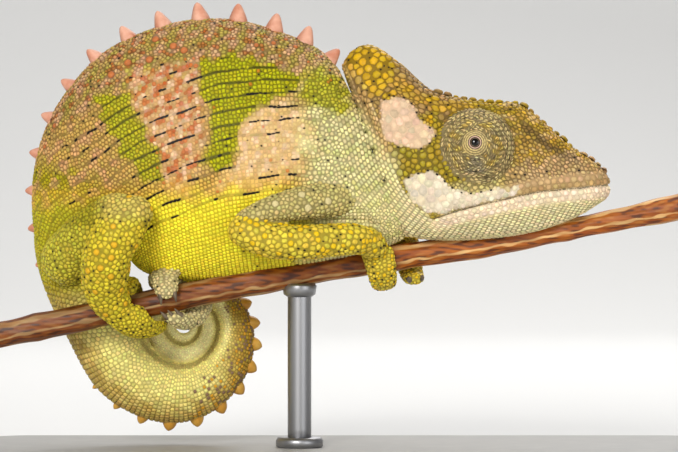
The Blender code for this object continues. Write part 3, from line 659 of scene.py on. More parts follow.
HEAD_CODES = codes(("head", "lower_jaw"))
TURRET_CODES = codes("eye_turret")
TRUNK_CODES = codes(("neck", "chest", "abdomen", "pelvis"))
TAIL_CODES = codes("tail")
TOE_CODES = [code for name, code in NODE_CODE.items() if name.endswith("toes")]
FOOT_CODES = codes(("hand", "foot"))
LIMB_CODES = codes(("upper_arm", "forearm", "thigh", "shank")) + FOOT_CODES


def nearest_nodes(points):
    """Number of the CAD node of flesh nearest to each point."""
    corners, faces, owner, count = [], [], [], 0
    for name in NODE_NAMES:
        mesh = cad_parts[name].data
        part = mesh_points(mesh)
        triangles = mesh_triangles(mesh)
        corners.append(part)
        faces.append(triangles + count)
        owner += [NODE_CODE[name]] * len(triangles)
        count += len(part)
    tree = BVHTree.FromPolygons(np.vstack(corners).tolist(), np.vstack(faces).tolist(), all_triangles=True)
    owner = np.array(owner)
    return owner[[tree.find_nearest(point)[2] for point in points.tolist()]]


# ---------------------------------------------------------------- colours

def linear(red, green, blue):
    """Linear colour from display values out of 255."""
    value = np.array([red, green, blue]) / 255.0
    return np.where(value <= 0.04045, value / 12.92, ((value + 0.055) / 1.055) ** 2.4)

# Trunk
TAN = linear(194, 156, 78)
BACK_TAN = linear(178, 144, 80)
BACK_OLIVE = linear(168, 156, 56)
BACK_PINK = linear(218, 166, 134)
BLOTCH = linear(166, 88, 34)
PINK = linear(190, 147, 96)
PALE_PINK = linear(212, 174, 114)
PINK_FLECK = linear(232, 196, 166)
REAR_PINK = linear(212, 156, 112)
ORANGE = linear(178, 80, 18)
GREEN = linear(172, 166, 0)
NECK_GREEN = linear(196, 196, 110)
YELLOW = linear(248, 228, 52)
REAR_BELLY = linear(186, 174, 34)
BELLY_EDGE = linear(222, 178, 62)
REAR_YELLOW = linear(172, 156, 14)
CREAM = linear(222, 210, 148)
NAPE = linear(200, 162, 100)
DARK = linear(26, 20, 16)
# Head
OLIVE = linear(162, 138, 30)
CASQUE = linear(196, 154, 12)
CASQUE_SLOPE = linear(164, 128, 72)
PATCH = linear(210, 178, 145)
CHEEK_WHITE = linear(220, 204, 176)
SNOUT = linear(176, 140, 58)
SNOUT_SPOT = linear(220, 178, 44)
SNOUT_STREAK = linear(212, 174, 118)
SNOUT_SHADE = linear(116, 92, 44)
CANTHAL_RIDGE_SHADE = linear(96, 74, 40)
UPPER_LIP = linear(182, 150, 98)
LOWER_LIP = linear(240, 216, 182)
LIP_TAN = linear(206, 170, 126)
UNDER_EYE = linear(204, 186, 122)
THROAT = linear(229, 214, 161)
# Turrets, lids and eyes
TURRET_TAN = linear(204, 180, 120)
TURRET_GREY = linear(166, 146, 100)
TURRET_OCHRE = linear(222, 184, 72)
TURRET_PALE = linear(206, 194, 158)
TURRET_BAR = linear(92, 78, 64)
TURRET_SHADE = linear(110, 92, 60)
RING_LIGHT = linear(206, 188, 116)
LID_RIM = linear(196, 160, 138)
# Painted shadow at the edge of the lid's opening, and painted shade in the lid's furrow
LID_EDGE_SHADOW = linear(50, 40, 32)
LID_FURROW_SHADE = linear(46, 36, 28)
PUPIL = linear(14, 11, 9)
IRIS = linear(176, 146, 112)
# Limbs
ARM = linear(192, 176, 108)
ARM_PLATE = linear(204, 188, 134)
ARM_YELLOW = linear(226, 184, 24)
ARM_BEAD = linear(224, 186, 20)
FOREARM_YELLOW = linear(216, 191, 60)
THIGH = linear(162, 149, 26)
THIGH_LOW = linear(198, 184, 54)
KNEE = linear(202, 180, 84)
SHANK = linear(208, 186, 44)
SHANK_BEAD = linear(214, 166, 30)
LEFT_FOOT = linear(194, 178, 108)
GREY_TOES = linear(210, 194, 136)
# What each limb's nodes are painted; a later, longer prefix overrules an earlier one
LIMB_PAINT = {
    "upper_arm": ARM, "forearm": FOREARM_YELLOW, "hand": FOREARM_YELLOW, "thigh": THIGH,
    "shank": SHANK, "foot": SHANK, "foot_left": LEFT_FOOT, "foot_left_upper": GREY_TOES,
    "foot_left_lower": GREY_TOES, "shank_left": KNEE,
}
# Tail
TAIL_PALE = linear(238, 223, 132)
# Painted highlight along the middle of the inner coils, and painted shade in the seams between the coils
TAIL_HIGHLIGHT = linear(250, 240, 176)
TAIL_SEAM_SHADE = linear(150, 130, 66)
TAIL_EDGE = linear(172, 132, 44)
TAIL_OCHRE = linear(170, 132, 20)
TAIL_PURPLE = linear(130, 102, 76)
TAIL_ORANGE = linear(206, 150, 40)
# Horn, bark and stand; pairs are the two tones of one material
CLAW_COLOURS = (linear(74, 62, 52), linear(124, 108, 84))
CREST_COLOURS = (linear(196, 126, 96), linear(222, 168, 142))
TUBERCLE_COLOURS = (linear(196, 136, 40), linear(218, 172, 78))
BARK = linear(138, 64, 2)
BARK_LIGHT = linear(166, 88, 6)
BARK_DARK = linear(64, 26, 8)
BARK_FIBRE = linear(188, 122, 50)
BARK_WORN = linear(228, 184, 120)
SAWN_WOOD = linear(222, 196, 150)
SATIN_COLOURS = (linear(164, 162, 158), linear(180, 178, 174))
STEEL_COLOURS = (linear(150, 150, 152), linear(176, 176, 178))

GREEN_BAND = [(-15.6, 40.6), (-13.0, 41.4), (-10.0, 41.0), (-7.5, 40.1), (-5.0, 39.0), (-5.5, 37.2),
              (-8.2, 36.4), (-10.0, 35.2), (-11.2, 33.4), (-11.5, 31.2), (-12.2, 29.4), (-13.8, 28.8),
              (-15.4, 29.6), (-15.0, 31.6), (-14.1, 33.2), (-14.4, 35.2), (-15.7, 37.0)]
REAR_BAND = [(-27.3, 37.0), (-25.0, 37.4), (-23.4, 37.0), (-22.4, 34.4), (-21.0, 32.0), (-20.0, 30.0),
             (-19.8, 28.0), (-21.6, 27.6), (-23.0, 29.2), (-24.6, 31.6), (-26.2, 34.0)]
NAPE_PATCH = [(-5.0, 38.6), (-3.4, 39.9), (-1.2, 39.6), (0.2, 38.0), (0.8, 35.6), (-1.0, 35.1), (-3.2, 35.6),
              (-5.2, 36.6)]
TEMPLE_PATCH = [(3.96, 36.4), (5.4, 36.9), (6.9, 36.5), (7.7, 35.2), (8.7, 34.0), (9.8, 32.6),
                (9.2, 31.8), (8.1, 31.1), (5.9, 31.6), (4.4, 32.1), (3.85, 34.1)]
CHEEK_PATCH = [(6.3, 27.8), (7.7, 28.4), (9.2, 28.8), (10.5, 27.9), (11.5, 27.0), (13.2, 26.3), (16.5, 26.8),
               (18.8, 27.0), (18.6, 26.2), (16.0, 25.6), (12.2, 24.6), (10.5, 24.1), (9.2, 24.3), (7.9, 24.9),
               (6.9, 26.3)]
FORWARD_PINK = [(-12.0, 36.0), (-8.5, 36.6), (-5.2, 35.4), (-3.6, 33.0), (-4.4, 29.0), (-9.0, 26.6),
                (-14.0, 26.6), (-12.2, 30.0)]
MIDDLE_PINK = [(-24.0, 40.0), (-16.0, 40.6), (-15.0, 36.0), (-15.2, 30.0), (-17.0, 26.4), (-20.0, 27.0),
               (-22.0, 32.0)]


def inside(points, outline, soft=0.35, ragged=0.5):
    """1 inside an outline and 0 outside it, with a ragged edge."""
    distance = outline_distance(points, outline) + ragged * waves(points, 2.3, len(outline))
    return ramp(soft, -soft, distance)


def layered(colour, *layers):
    """A colour with others laid over it in turn, each by its share."""
    for other, share in layers:
        colour = colour + (other - colour) * share[:, None]
    return colour


def greenness(points):
    """1 on the two green bands of the flank."""
    return np.maximum(inside(points, GREEN_BAND), inside(points, REAR_BAND))


def pinkness(points):
    """1 on the smooth pink parts of the flank."""
    pink = np.maximum(inside(points, MIDDLE_PINK, 1.0), inside(points, FORWARD_PINK, 1.0))
    return pink * (1 - greenness(points))


def painted_crease_shade(points):
    """1 along the fine wandering creases of the neck and the upper back, where shade is painted into them."""
    folds = np.abs(waves(points * np.array([0.6, 0.8, 1.3]), 1.9, 8))
    high = ramp(30.0, 33.0, points[:, 2] + points[:, 0])
    return ramp(0.14, 0.03, folds) * (1 - in_rows(points)) * high


def trunk_colour(points):
    """Tan back, pink flank, green bands, yellow belly and cream neck, with painted shade in the creases."""
    x, z = points[:, 0], points[:, 2]
    behind = np.maximum(-20 - x, 0)
    rough, patchy, grainy = waves(points, 3.1), waves(points, 1.8, 5), waves(points, 1.35, 6)
    back = ramp(37.6, 39.4, z + 0.42 * behind)
    blotch = ramp(0.42, 0.75, waves(points, 1.5, 2)) * back
    pink = pinkness(points)
    spots = ramp(0.12, 0.5, waves(points * np.array([0.75, 1, 1.2]), 1.35, 6))
    rear = ramp(-23.0, -26.0, x) * (1 - back)
    belly = 26.2 + 0.06 * (x + 16) + 0.5 * rough
    yellow = layered(YELLOW, (REAR_BELLY, ramp(-23.0, -27.0, x + rough)))
    fleck = ramp(0.1, 0.7, waves(points, 1.6, 9)) * ramp(-6.0, -3.0, x) * ramp(39.0, 36.0, z)
    colour = layered(
        TAN,
        (PINK, inside(points, MIDDLE_PINK, 1.2, 0.8) * 0.85),
        (PALE_PINK, inside(points, FORWARD_PINK, 1.7, 1.0)),
        (BACK_TAN, ramp(38.5, 41.0, z + 0.6 * rough + behind * 0.55)),
        (REAR_YELLOW, ramp(-22.5, -25.5, x + 0.8 * rough) * ramp(30.5, 26.5, z + 0.4 * (x + 30) + rough)),
        (BACK_OLIVE, 0.6 * back * ramp(0.1, 0.6, patchy)),
        (BACK_PINK, 0.5 * back * ramp(0.1, 0.6, -patchy)),
        (BLOTCH, 0.75 * blotch * ramp(-3.0, -10.0, x)),
        (PINK_FLECK, 0.5 * pink * ramp(0.1, 0.6, -grainy)),
        (ORANGE, 0.72 * spots * pink * inside(points, MIDDLE_PINK, 0.8)),
        (REAR_PINK, 0.6 * rear * ramp(0.0, 0.6, waves(points, 2.4, 7))),
        (BELLY_EDGE, 0.55 * ramp(belly + 2.6, belly + 0.6, z + 0.5 * rough)),
        (yellow, ramp(belly + 0.9, belly - 1.5, z)),
        (CREAM, ramp(-6.5, -2.0, x + rough) * ramp(42.0, 36.0, z)),
        (NAPE, ramp(-3.0, 1.0, x) * ramp(33.0, 38.0, z)),
        (NECK_GREEN, 0.5 * fleck),
        (GREEN, inside(points, GREEN_BAND, 0.3, 0.3)),
        (GREEN, inside(points, REAR_BAND, 0.4, 0.4) * 0.9),
        (GREEN, inside(points, NAPE_PATCH, 0.6) * 0.9))
    # Painted shade along the creases
    return colour * (1 - 0.4 * painted_crease_shade(points))[:, None]

# Turns and stretches the streaks of the snout along its slope
STREAK_STRETCH = np.array([[0.4, 0, 0.9], [0, 1, 0], [-0.28, 0, 1.3]])


def head_colour(points):
    """Orange casque, white temple and cheek, ochre snout, cream throat, and painted shade beneath the canthal
    ridge.
    """
    x, z = points[:, 0], points[:, 2]
    rough = waves(points, 1.9)
    ochre = np.maximum(ramp(0.1, 0.7, waves(points, 2.1, 1)), casque_plates(points))
    brow = line_distance(points, BROW_LINE)
    spots = ramp(0.5, 0.9, waves(points, 1.3, 2)) * ramp(12.0, 15.0, x)
    streaks = waves(points @ STREAK_STRETCH, 1.1, 3)
    slope = ramp(15.0, 17.5, x)
    streak = line_distance(points, CANTHAL_SHADE_LINE)
    mouth = mouth_height(points)
    above_lip = ramp(4.4, 3.0, mouth + 0.8 * rough) * ramp(16.5, 19.0, x) * ramp(0.4, 1.4, mouth)
    under = ramp(3.6, 2.6, mouth) * ramp(9.0, 11.0, x) * ramp(18.5, 16.0, x)
    lower_lip = ramp(-1.7, -1.0, mouth) * ramp(0.1, -0.1, mouth)
    back = behind_fold(points)
    return layered(
        OLIVE,
        (CASQUE_SLOPE, ramp(33.6, 35.6, z + rough) * ramp(16.0, 12.0, x)),
        (CASQUE, ochre * ramp(33.0, 34.5, z) * ramp(15.0, 12.0, x)),
        (SNOUT, ramp(16.5, 20.5, x + 0.8 * rough)),
        (CASQUE, 0.55 * ramp(1.0, 0.3, brow + 0.3 * rough)),
        (SNOUT_SPOT, 0.8 * spots),
        (SNOUT_STREAK, 0.7 * slope * ramp(0.1, 0.7, streaks)),
        (SNOUT_SHADE, 0.5 * slope * ramp(0.3, 0.8, -streaks)),
        # Painted shade beneath the canthal ridge
        (CANTHAL_RIDGE_SHADE, 0.7 * ramp(0.7, 0.2, streak)),
        (UPPER_LIP, ramp(2.0, 1.2, mouth) * ramp(12.0, 14.0, x)),
        (THROAT, ramp(0.2, -0.2, mouth) * ramp(1.0, 3.0, x)),
        (LOWER_LIP, lower_lip * ramp(9.0, 11.0, x)),
        (LIP_TAN, 0.55 * above_lip),
        (UNDER_EYE, 0.8 * under * ramp(0.0, 0.4, mouth)),
        (NAPE, ramp(-1.6, -0.4, back) * ramp(41.0, 38.0, z)),
        (CREAM, ramp(-2.6, -1.0, back) * ramp(32.0, 29.0, z)),
        (PATCH, inside(points, TEMPLE_PATCH, 0.14, 0.16)),
        (CHEEK_WHITE, inside(points, CHEEK_PATCH, 0.14, 0.16)))

THROAT_EDGE = [(3.0, 36.0), (4.3, 31.5), (5.4, 28.6), (6.5, 26.4), (8.0, 24.7)]


def mouth_height(points):
    """Height above the line of the mouth, or above the edge of the throat behind it."""
    line = THROAT_EDGE + sorted(MOUTH_LINE)
    return points[:, 2] - np.interp(points[:, 0], [x for x, _ in line], [z for _, z in line])


def behind_fold(points):
    """How far points lie behind the fold at the back of the head."""
    line = sorted((z, x) for x, z in FOLD_LINE)
    return np.interp(points[:, 2], [z for z, _ in line], [x for _, x in line]) - points[:, 0]


def tail_outward(points):
    """Share of the way from the inner to the outer edge of the tail's coil, and turn round its centre."""
    offset = points[:, [0, 2]] - np.array(TAIL_CENTRE)
    distance = np.linalg.norm(offset, axis=1)
    degrees = np.degrees(np.arctan2(offset[:, 1], offset[:, 0])) - 180
    degrees = np.mod(degrees + 40, 360) - 40
    share = np.zeros(len(points))
    for turn in range(3):
        outer = coil_radius(degrees + 360 * turn)
        inner = coil_radius(degrees + 360 * (turn + 1))
        here = (distance <= outer + 0.4) & (distance > inner)
        share = np.where(here, (distance - inner) / (outer - inner), share)
    return share, degrees


def tail_distance(points):
    """Distance from the centre of the tail's coil."""
    return np.hypot(points[:, 0] - TAIL_CENTRE[0], points[:, 2] - TAIL_CENTRE[1])


def tail_colour(points):
    """Pale yellow inner edge with a painted highlight along the middle of each inner coil, tan to ochre outer
    edge, and painted shade in the seam between the coils.
    """
    share, degrees = tail_outward(points)
    distance = tail_distance(points)
    outer = ramp(4.8, 5.6, distance)
    # Painted shade in the seams between the coils, and a painted highlight along the middle of each inner
    # coil
    seam_shade = ramp(0.1, 0.02, np.minimum(share, 1.02 - share)) * ramp(6.4, 5.4, distance)
    light = 0.8 * ramp(0.1, 0.4, share) * ramp(0.95, 0.7, share) * (1 - outer)
    right = ramp(110, 150, degrees) * ramp(0.15, 0.6, share)
    return layered(
        TAIL_PALE,
        (TAIL_SEAM_SHADE, 0.65 * seam_shade),
        (TAIL_HIGHLIGHT, light),
        (TAIL_EDGE, ramp(0.45, 0.95, share + 0.1 * waves(points, 1.7)) * 0.75 * outer),
        (TAIL_OCHRE, 0.75 * right * outer),
        (REAR_YELLOW, ramp(30.0, -10.0, degrees) * ramp(13.0, 17.0, points[:, 2])))


def limb_colour(points, nodes):
    """Colours of arms, legs and feet."""
    x, z = points[:, 0], points[:, 2]
    colour = np.tile(SHANK, (len(points), 1))
    for prefix, paint in LIMB_PAINT.items():
        colour[np.isin(nodes, codes(prefix))] = paint
    low_thigh = np.isin(nodes, codes("thigh")) * ramp(24.5, 20.5, z + 0.6 * waves(points, 2.5))
    knee = ramp(22.6, 24.4, z) * ramp(-27.5, -25.0, x) * (x < -16)
    return layered(colour, (THIGH_LOW, low_thigh), (KNEE, knee))

# Distance between the dark bars below the eye
BAR_PERIOD = 0.55


def turret_colour(points):
    """Tan and grey patches, ochre near the lid, and pale skin with dark bars below the eye."""
    radius, _, angle = turret_place(points)
    patchy = waves(points, 1.7)
    ochre = ramp(3.5, 2.8, radius) * ramp(1.1, 1.6, radius) * ramp(-0.1, 0.7, waves(points, 1.4, 2))
    below = ramp(0.5, 0.2, np.abs(angle + np.pi / 2)) * ramp(1.2, 1.7, radius)
    below = below * ramp(3.4, 2.9, radius)
    bars = ramp(0.1, 0.5, np.sin(radius * 2 * np.pi / BAR_PERIOD))
    sides = ramp(0.3, 0.0, np.abs(np.sin(angle))) * ramp(1.3, 1.8, radius) * ramp(2.6, 2.2, radius)
    return layered(
        np.tile(TURRET_TAN, (len(points), 1)),
        (TURRET_GREY, 0.6 * ramp(0.1, 0.7, patchy)),
        (TURRET_OCHRE, 0.65 * ochre),
        (TURRET_PALE, 0.6 * below),
        (TURRET_BAR, 0.7 * below * bars),
        (TURRET_SHADE, 0.5 * sides * (0.5 + 0.5 * patchy)))


def coat_colour(points, nodes):
    """The animal's markings at points on given nodes."""
    trunk = trunk_colour(points)
    at_neck = ramp(-1.2, 1.0, -behind_fold(points))
    colour = trunk
    for here, paint in ((HEAD_CODES, layered(trunk, (head_colour(points), at_neck))),
                        (TAIL_CODES, tail_colour(points)),
                        (LIMB_CODES, limb_colour(points, nodes)),
                        (TURRET_CODES, turret_colour(points))):
        colour = np.where(np.isin(nodes, here)[:, None], paint, colour)
    return colour


# ---------------------------------------------------------------- where scales sit

SCALE, PLATE, BEAD, SPECK, GROOVE, CONE, RING, LONG, DOME, TILE = range(10)
# How many times longer than wide each kind is
ASPECT = np.array([1.0, 1.0, 1.0, 1.3, 2.2, 1.3, 3.2, 1.5, 1.15, 1.0])

# Side of the cells that roots are looked up in, and how far off the skin a place may be given
CELL = 1.2
SETTLE_WITHIN = 0.55


def cell_of(point):
    """The cell that a point lies in."""
    return int(point[0] // CELL), int(point[1] // CELL), int(point[2] // CELL)


class Sites:
    """Roots of the scales on a skin: place, lie, spacing and kind, in the order they were given room."""

    def __init__(self, skin, face_node):
        points, faces, _ = skin
        self.tree = BVHTree.FromPolygons(points.tolist(), faces.tolist(), all_triangles=True)
        self.face_node = face_node
        self.place, self.lie, self.size, self.kind = [], [], [], []
        self.cells = {}

    def near_cells(self, point):
        """Roots in the cell of a point and in the cells round it."""
        i, j, k = cell_of(point)
        for a in (i - 1, i, i + 1):
            for b in (j - 1, j, j + 1):
                for c in (k - 1, k, k + 1):
                    yield from self.cells.get((a, b, c), ())

    def room(self, point, size, tight):
        """True if no earlier root is too near."""
        for x, y, z, other in self.near_cells(point):
            reach = tight * (size + other) / 2
            if (x - point[0]) ** 2 + (y - point[1]) ** 2 + (z - point[2]) ** 2 < reach * reach:
                return False
        return True

    def keep(self, places, lies, sizes, kinds, allowed, tight):
        """Settle places on the skin, and add those that lie on the allowed nodes and have room."""
        near = [self.tree.find_nearest(place) for place in places.tolist()]
        index = np.array([hit[2] for hit in near])
        settled = np.array([tuple(hit[0]) for hit in near])
        distance = np.array([hit[3] for hit in near])
        good = (distance < SETTLE_WITHIN) & np.isin(self.face_node[index], allowed)
        sizes = np.broadcast_to(sizes, len(places))
        kinds = np.broadcast_to(kinds, len(places))
        rows = zip(settled[good].tolist(), lies[good].tolist(), sizes[good].tolist(), kinds[good].tolist())
        for point, lie, size, kind in rows:
            if self.room(point, size, tight):
                self.place.append(point)
                self.lie.append(lie)
                self.size.append(size)
                self.kind.append(kind)
                self.cells.setdefault(cell_of(point), []).append((*point, size))

ROW_PITCH = 0.43
ROWS_PER_GROOVE = 3
ROWS_EACH_WAY = 60
GROOVE_WIDTH = 0.24
GROOVE_PITCH = 0.46
GROOVES_UP = 8
GROOVES_DOWN = 5
# Rows are counted off from this station of the trunk, and are left out where they cross few stations
MIDDLE_STATION = 4.2
FEWEST_STATIONS = 8
# How far the flank's middle row lies above the middle of the flank, at stations along the trunk
ROW_SHIFT = [(0.0, 3.2), (2.0, 3.0), (3.5, 2.2), (5.0, 0.4), (6.5, -1.4), (7.5, -1.6), (8.6, 0.2),
             (10.0, 3.4), (12.0, 6.0)]


def trunk_row_offsets():
    """Distances of the flank's rows from its middle line, and whether each is a groove."""
    every = ROWS_PER_GROOVE + 1
    rows = [(0.0, True)]
    for way, grooves in ((1, GROOVES_UP), (-1, GROOVES_DOWN)):
        offset = 0.0
        for count in range(1, ROWS_EACH_WAY):
            groove = count % every == 0 and count // every <= grooves
            after_groove = (count - 1) % every == 0 and (count - 1) // every <= grooves
            offset += (ROW_PITCH + GROOVE_WIDTH) / 2 if groove or after_groove else ROW_PITCH
            rows.append((way * offset, groove))
    return rows


def in_rows(points):
    """Whether scales stand in rows: on the flank and belly, but not on the neck or along the back."""
    x, z = points[:, 0], points[:, 2]
    ragged = waves(points, 2.4, 4)
    behind_neck = (x < -3.4 + 1.3 * ragged) | (z < 24.5)
    return behind_neck & (z < 40.4 - 0.62 * np.maximum(-20 - x, 0) + 0.7 * ragged)


def place_trunk_rows(keep, rng):
    """Rows of scales along the trunk, kept parallel to the middle of each flank."""
    stations = np.linspace(0, TRUNK_END, 481)
    shift = np.interp(stations, [at for at, _ in ROW_SHIFT], [up for _, up in ROW_SHIFT])
    for side in (1, -1):
        middle_angle = 180.0 if side == 1 else 0.0
        sweep = np.radians(middle_angle - side * np.linspace(-90, 90, 241))
        surface = trunk_surface(stations[:, None], sweep[None, :], -COAT)
        around = np.array([travelled_along(section) for section in surface])
        around -= around[:, [120]] + shift[:, None]
        for offset, groove in trunk_row_offsets():
            angle = np.array([np.interp(offset, row, sweep, left=np.nan, right=np.nan) for row in around])
            good = ~np.isnan(angle)
            if good.sum() >= FEWEST_STATIONS:
                place_trunk_row(keep, rng, stations[good], angle[good], offset, groove)


def place_trunk_row(keep, rng, stations, angle, offset, groove):
    """One row of scales, or one groove, at an angle round the trunk at each station."""
    line = trunk_surface(stations, angle, -COAT)
    travelled = travelled_along(line)
    middle = np.interp(MIDDLE_STATION, stations, travelled)
    pitch = GROOVE_PITCH if groove else ROW_PITCH
    points = points_at(np.arange(middle % pitch, travelled[-1], pitch), travelled, line)
    lies = unit(np.gradient(points, axis=0)) if len(points) > 1 else np.array([[1.0, 0, 0]])
    points[:, 2] += 0.13 * waves(points, 2.8, 2)
    loose = 0.0 if groove else 0.1 if offset > -5.0 else 0.03
    points = points + rng.uniform(-loose, loose, points.shape)
    width = GROOVE_WIDTH if groove else ROW_PITCH
    size = width * rng.uniform(1 - 1.4 * loose, 1 + 1.4 * loose, len(points))
    rowed = in_rows(points)
    if rowed.any():
        keep(points[rowed], -lies[rowed], size[rowed], GROOVE if groove else SCALE, TRUNK_CODES, 0.6)


def place_tail_rings(keep):
    """Rings of scales round the tail, closer together as it narrows."""
    degrees = TAIL_START
    while degrees < TAIL_END - 6:
        _, _, half, width = tail_frame(degrees)
        reach = float(coil_radius(degrees))
        size = float(np.clip(0.17 + 0.09 * half, 0.26, 0.52))
        around = math.pi * (half + width)
        count = max(6, round(around / size))
        turns = turns_of(count) + (0.0 if round(degrees * 7) % 2 else np.pi / count)
        points = tail_surface(np.full(count, degrees), turns, -COAT)
        ahead = tail_surface(np.full(count, degrees + 1.0), turns, -COAT)
        keep(points, unit(ahead - points), size * 0.9, SCALE, TAIL_CODES, 0.5)
        degrees += math.degrees(size / (reach - 0.55 * half))

# Distance between rings of scales on the turrets, and between the scales of a ring
TURRET_RING = 0.24
TURRET_SCALE = 0.56


def place_turret_rings(keep):
    """Fine rings of narrow scales round each eye turret."""
    shares = np.linspace(0, len(TURRET) - 1, 400)
    for side in (-1, 1):
        travelled = travelled_along(turret_surface(shares, np.zeros(400), side, -COAT))
        for ring, stop in enumerate(np.arange(0.3, travelled[-1] - 0.3, TURRET_RING)):
            share = float(np.interp(stop, travelled, shares))
            radius = float(curve(TURRET, share)[0])
            count = max(10, round(2 * math.pi * radius / TURRET_SCALE))
            turns = turns_of(count) + ring * 1.7
            ripple = 0.14 * np.sin(3 * turns + 0.5 * ring) + 0.09 * np.sin(7 * turns + 0.9 * ring)
            points = turret_surface(share + ripple * TURRET_RING, turns, side, -COAT)
            ahead = turret_surface(np.full(count, share), turns + 0.02, side, -COAT)
            keep(points, unit(ahead - points), TURRET_RING, RING, TURRET_CODES + HEAD_CODES, 0.7)

# Rows of the throat run between two guide lines of (x, height), from nape to chin
ROWS_ABOVE = [(3.2, 36.0), (4.2, 33.3), (4.6, 30.2), (6.0, 27.0), (7.6, 24.9), (10.3, 23.6), (14.9, 24.4),
              (19.3, 25.2), (23.7, 25.8), (28.1, 26.3)]
ROWS_BELOW = [(-2.6, 36.0), (-1.6, 31.6), (-0.2, 27.4), (2.0, 24.1), (5.0, 21.7), (10.5, 20.8), (17.1, 21.1),
              (22.6, 22.2), (26.4, 23.8), (28.6, 25.4)]
THROAT_ROWS = 15


def side_hits(flat, side, tree):
    """Places on the skin that (x, height) points reach from one side."""
    hits = [tree.ray_cast(Vector((x, 30.0 * side, z)), Vector((0, -side, 0)))[0] for x, z in flat]
    return np.array([tuple(place) for place in hits if place is not None and place[1] * side > 0.3])


def place_side_row(sites, line, pitch, size, kind, allowed, tight=0.55, shift=0.5):
    """One row of scales along a line in the side view, on both sides."""
    smooth = curve(line, np.linspace(0, len(line) - 1, 200))
    travelled = travelled_along(smooth)
    flat = points_at(np.arange(pitch * shift, travelled[-1], pitch), travelled, smooth)
    for side in (-1, 1):
        points = side_hits(flat, side, sites.tree)
        if len(points) >= 3:
            sites.keep(points, unit(np.gradient(points, axis=0)), size, kind, allowed, tight)

CROWN_RIDGE = 9.1
RIDGE_START = 4.3
BUMP_PITCH = 0.95


def place_crown_ridge(keep):
    """Round bumps along the brow and the edge of the snout, on both sides of the crown."""
    stations = np.linspace(RIDGE_START, len(HEAD) - 1.6, 300)
    for side in (-1, 1):
        line = head_surface(stations, np.full(300, CROWN_RIDGE), side, -COAT)
        travelled = travelled_along(line)
        stops = np.arange(0.4, travelled[-1], BUMP_PITCH)
        points = points_at(stops, travelled, line)
        sizes = BUMP_PITCH * (0.98 + 0.22 * np.sin(stops * 2.1) + 0.2 * np.sin(stops * 5.3))
        keep(points, unit(np.gradient(points, axis=0)), sizes, DOME, HEAD_CODES, 0.5)

# Rows of plates along the mouth: height above its line, and spacing
LIP_ROWS = ((0.38, 0.8), (-0.42, 0.86), (1.0, 0.74), (-1.08, 0.8))


def place_head_rows(sites):
    """Line of the mouth, fold, brow bumps, lip plates, specks round the patches, rows of the throat."""
    neck = HEAD_CODES + codes("neck")
    place_side_row(sites, MOUTH_LINE, 0.36, 0.16, GROOVE, HEAD_CODES, 0.4)
    place_side_row(sites, FOLD_LINE, 0.5, 0.24, GROOVE, neck, 0.4)
    place_crown_ridge(sites.keep)
    for rise, pitch in LIP_ROWS:
        line = [(x, z + rise) for x, z in MOUTH_LINE[:-1]]
        place_side_row(sites, line, pitch, 0.6, PLATE, HEAD_CODES)
    for outline, shift in ((TEMPLE_PATCH, 0.3), (CHEEK_PATCH, 0.6)):
        place_side_row(sites, outline[:8], 1.1, 0.26, SPECK, HEAD_CODES, 0.8, shift)
    above, below = np.array(ROWS_ABOVE), np.array(ROWS_BELOW)
    for row in range(THROAT_ROWS + 1):
        line = above + (below - above) * (row / THROAT_ROWS)
        kind = CONE if row >= THROAT_ROWS - 1 else LONG
        place_side_row(sites, line, 0.62, 0.4, kind, neck, 0.62, 0.25 + 0.5 * (row % 2))


def casque_plates(points):
    """1 on the upper part of the casque, which has large flat plates."""
    x, z = points[:, 0], points[:, 2]
    return ramp(36.8, 38.4, z + 0.5 * waves(points, 2.4)) * ramp(6.4, 5.2, x + 0.35 * (41 - z))


def spacing_at(points, nodes):
    """Usual distance between scales in each region; later rules overrule earlier ones."""
    x, z = points[:, 0], points[:, 2]
    head = np.isin(nodes, HEAD_CODES)
    casque = head & (x < 12) & (z > 33.5)
    rules = [(np.isin(nodes, TRUNK_CODES) & ~in_rows(points), 0.385),
             (head, 0.46),
             (casque, 0.5),
             (casque & (waves(points, 1.6) > 0.6), 0.7),
             (casque & (casque_plates(points) > 0.5), 0.8),
             (head & (x > 4.2) & (x < 10.5) & (z > 28.2) & (z < 31.6), 0.62)]
    for outline in (TEMPLE_PATCH, CHEEK_PATCH):
        distance = outline_distance(points, outline)
        rules += [(head & (np.abs(distance) < 0.45), 0.34), (head & (distance <= -0.45), 0.85)]
    behind = ramp(0.2, -0.4, behind_fold(points)) < 0.5
    rules += [(np.isin(nodes, TURRET_CODES), 0.8),
              (np.isin(nodes, codes(("forearm", "foot_right", "hand"))), 0.58),
              (np.isin(nodes, codes("shank")), 0.5),
              (np.isin(nodes, TAIL_CODES), 0.42),
              (np.isin(nodes, TOE_CODES), 0.38),
              (head & behind & (z > 28.0), 0.4)]
    size = np.full(len(points), 0.44)
    for here, apart in rules:
        size[here] = apart
    return size


def random_places(rng, points, faces, normals, count):
    """Evenly random places on the skin, with normals."""
    corners = points[faces]
    area = np.linalg.norm(np.cross(corners[:, 1] - corners[:, 0], corners[:, 2] - corners[:, 0]), axis=1)
    chosen = rng.choice(len(faces), count, p=area / area.sum())
    a, b = rng.random((2, count, 1))
    flip = a + b > 1
    a, b = np.where(flip, 1 - a, a), np.where(flip, 1 - b, b)
    place = corners[chosen, 0] * (1 - a - b) + corners[chosen, 1] * a + corners[chosen, 2] * b
    return place, unit(normals[faces[chosen]].mean(1)), chosen


# Random places tried for the close filling, and for beads and specks
FILLING_TRIES = 190000
BEAD_TRIES = 60000


def place_scales(skin, face_node):
    """Root of every scale: rows of the head, single scales, rows of the body, then a close filling."""
    sites = Sites(skin, face_node)
    rng = np.random.default_rng(SEED)
    place_head_rows(sites)
    place_turret_rings(sites.keep)
    place_single_scales(sites)
    place_beads(sites.keep, rng, skin, face_node)
    place_trunk_rows(sites.keep, rng)
    place_tail_rings(sites.keep)
    fill_gaps(sites.keep, rng, skin, face_node)
    return sites


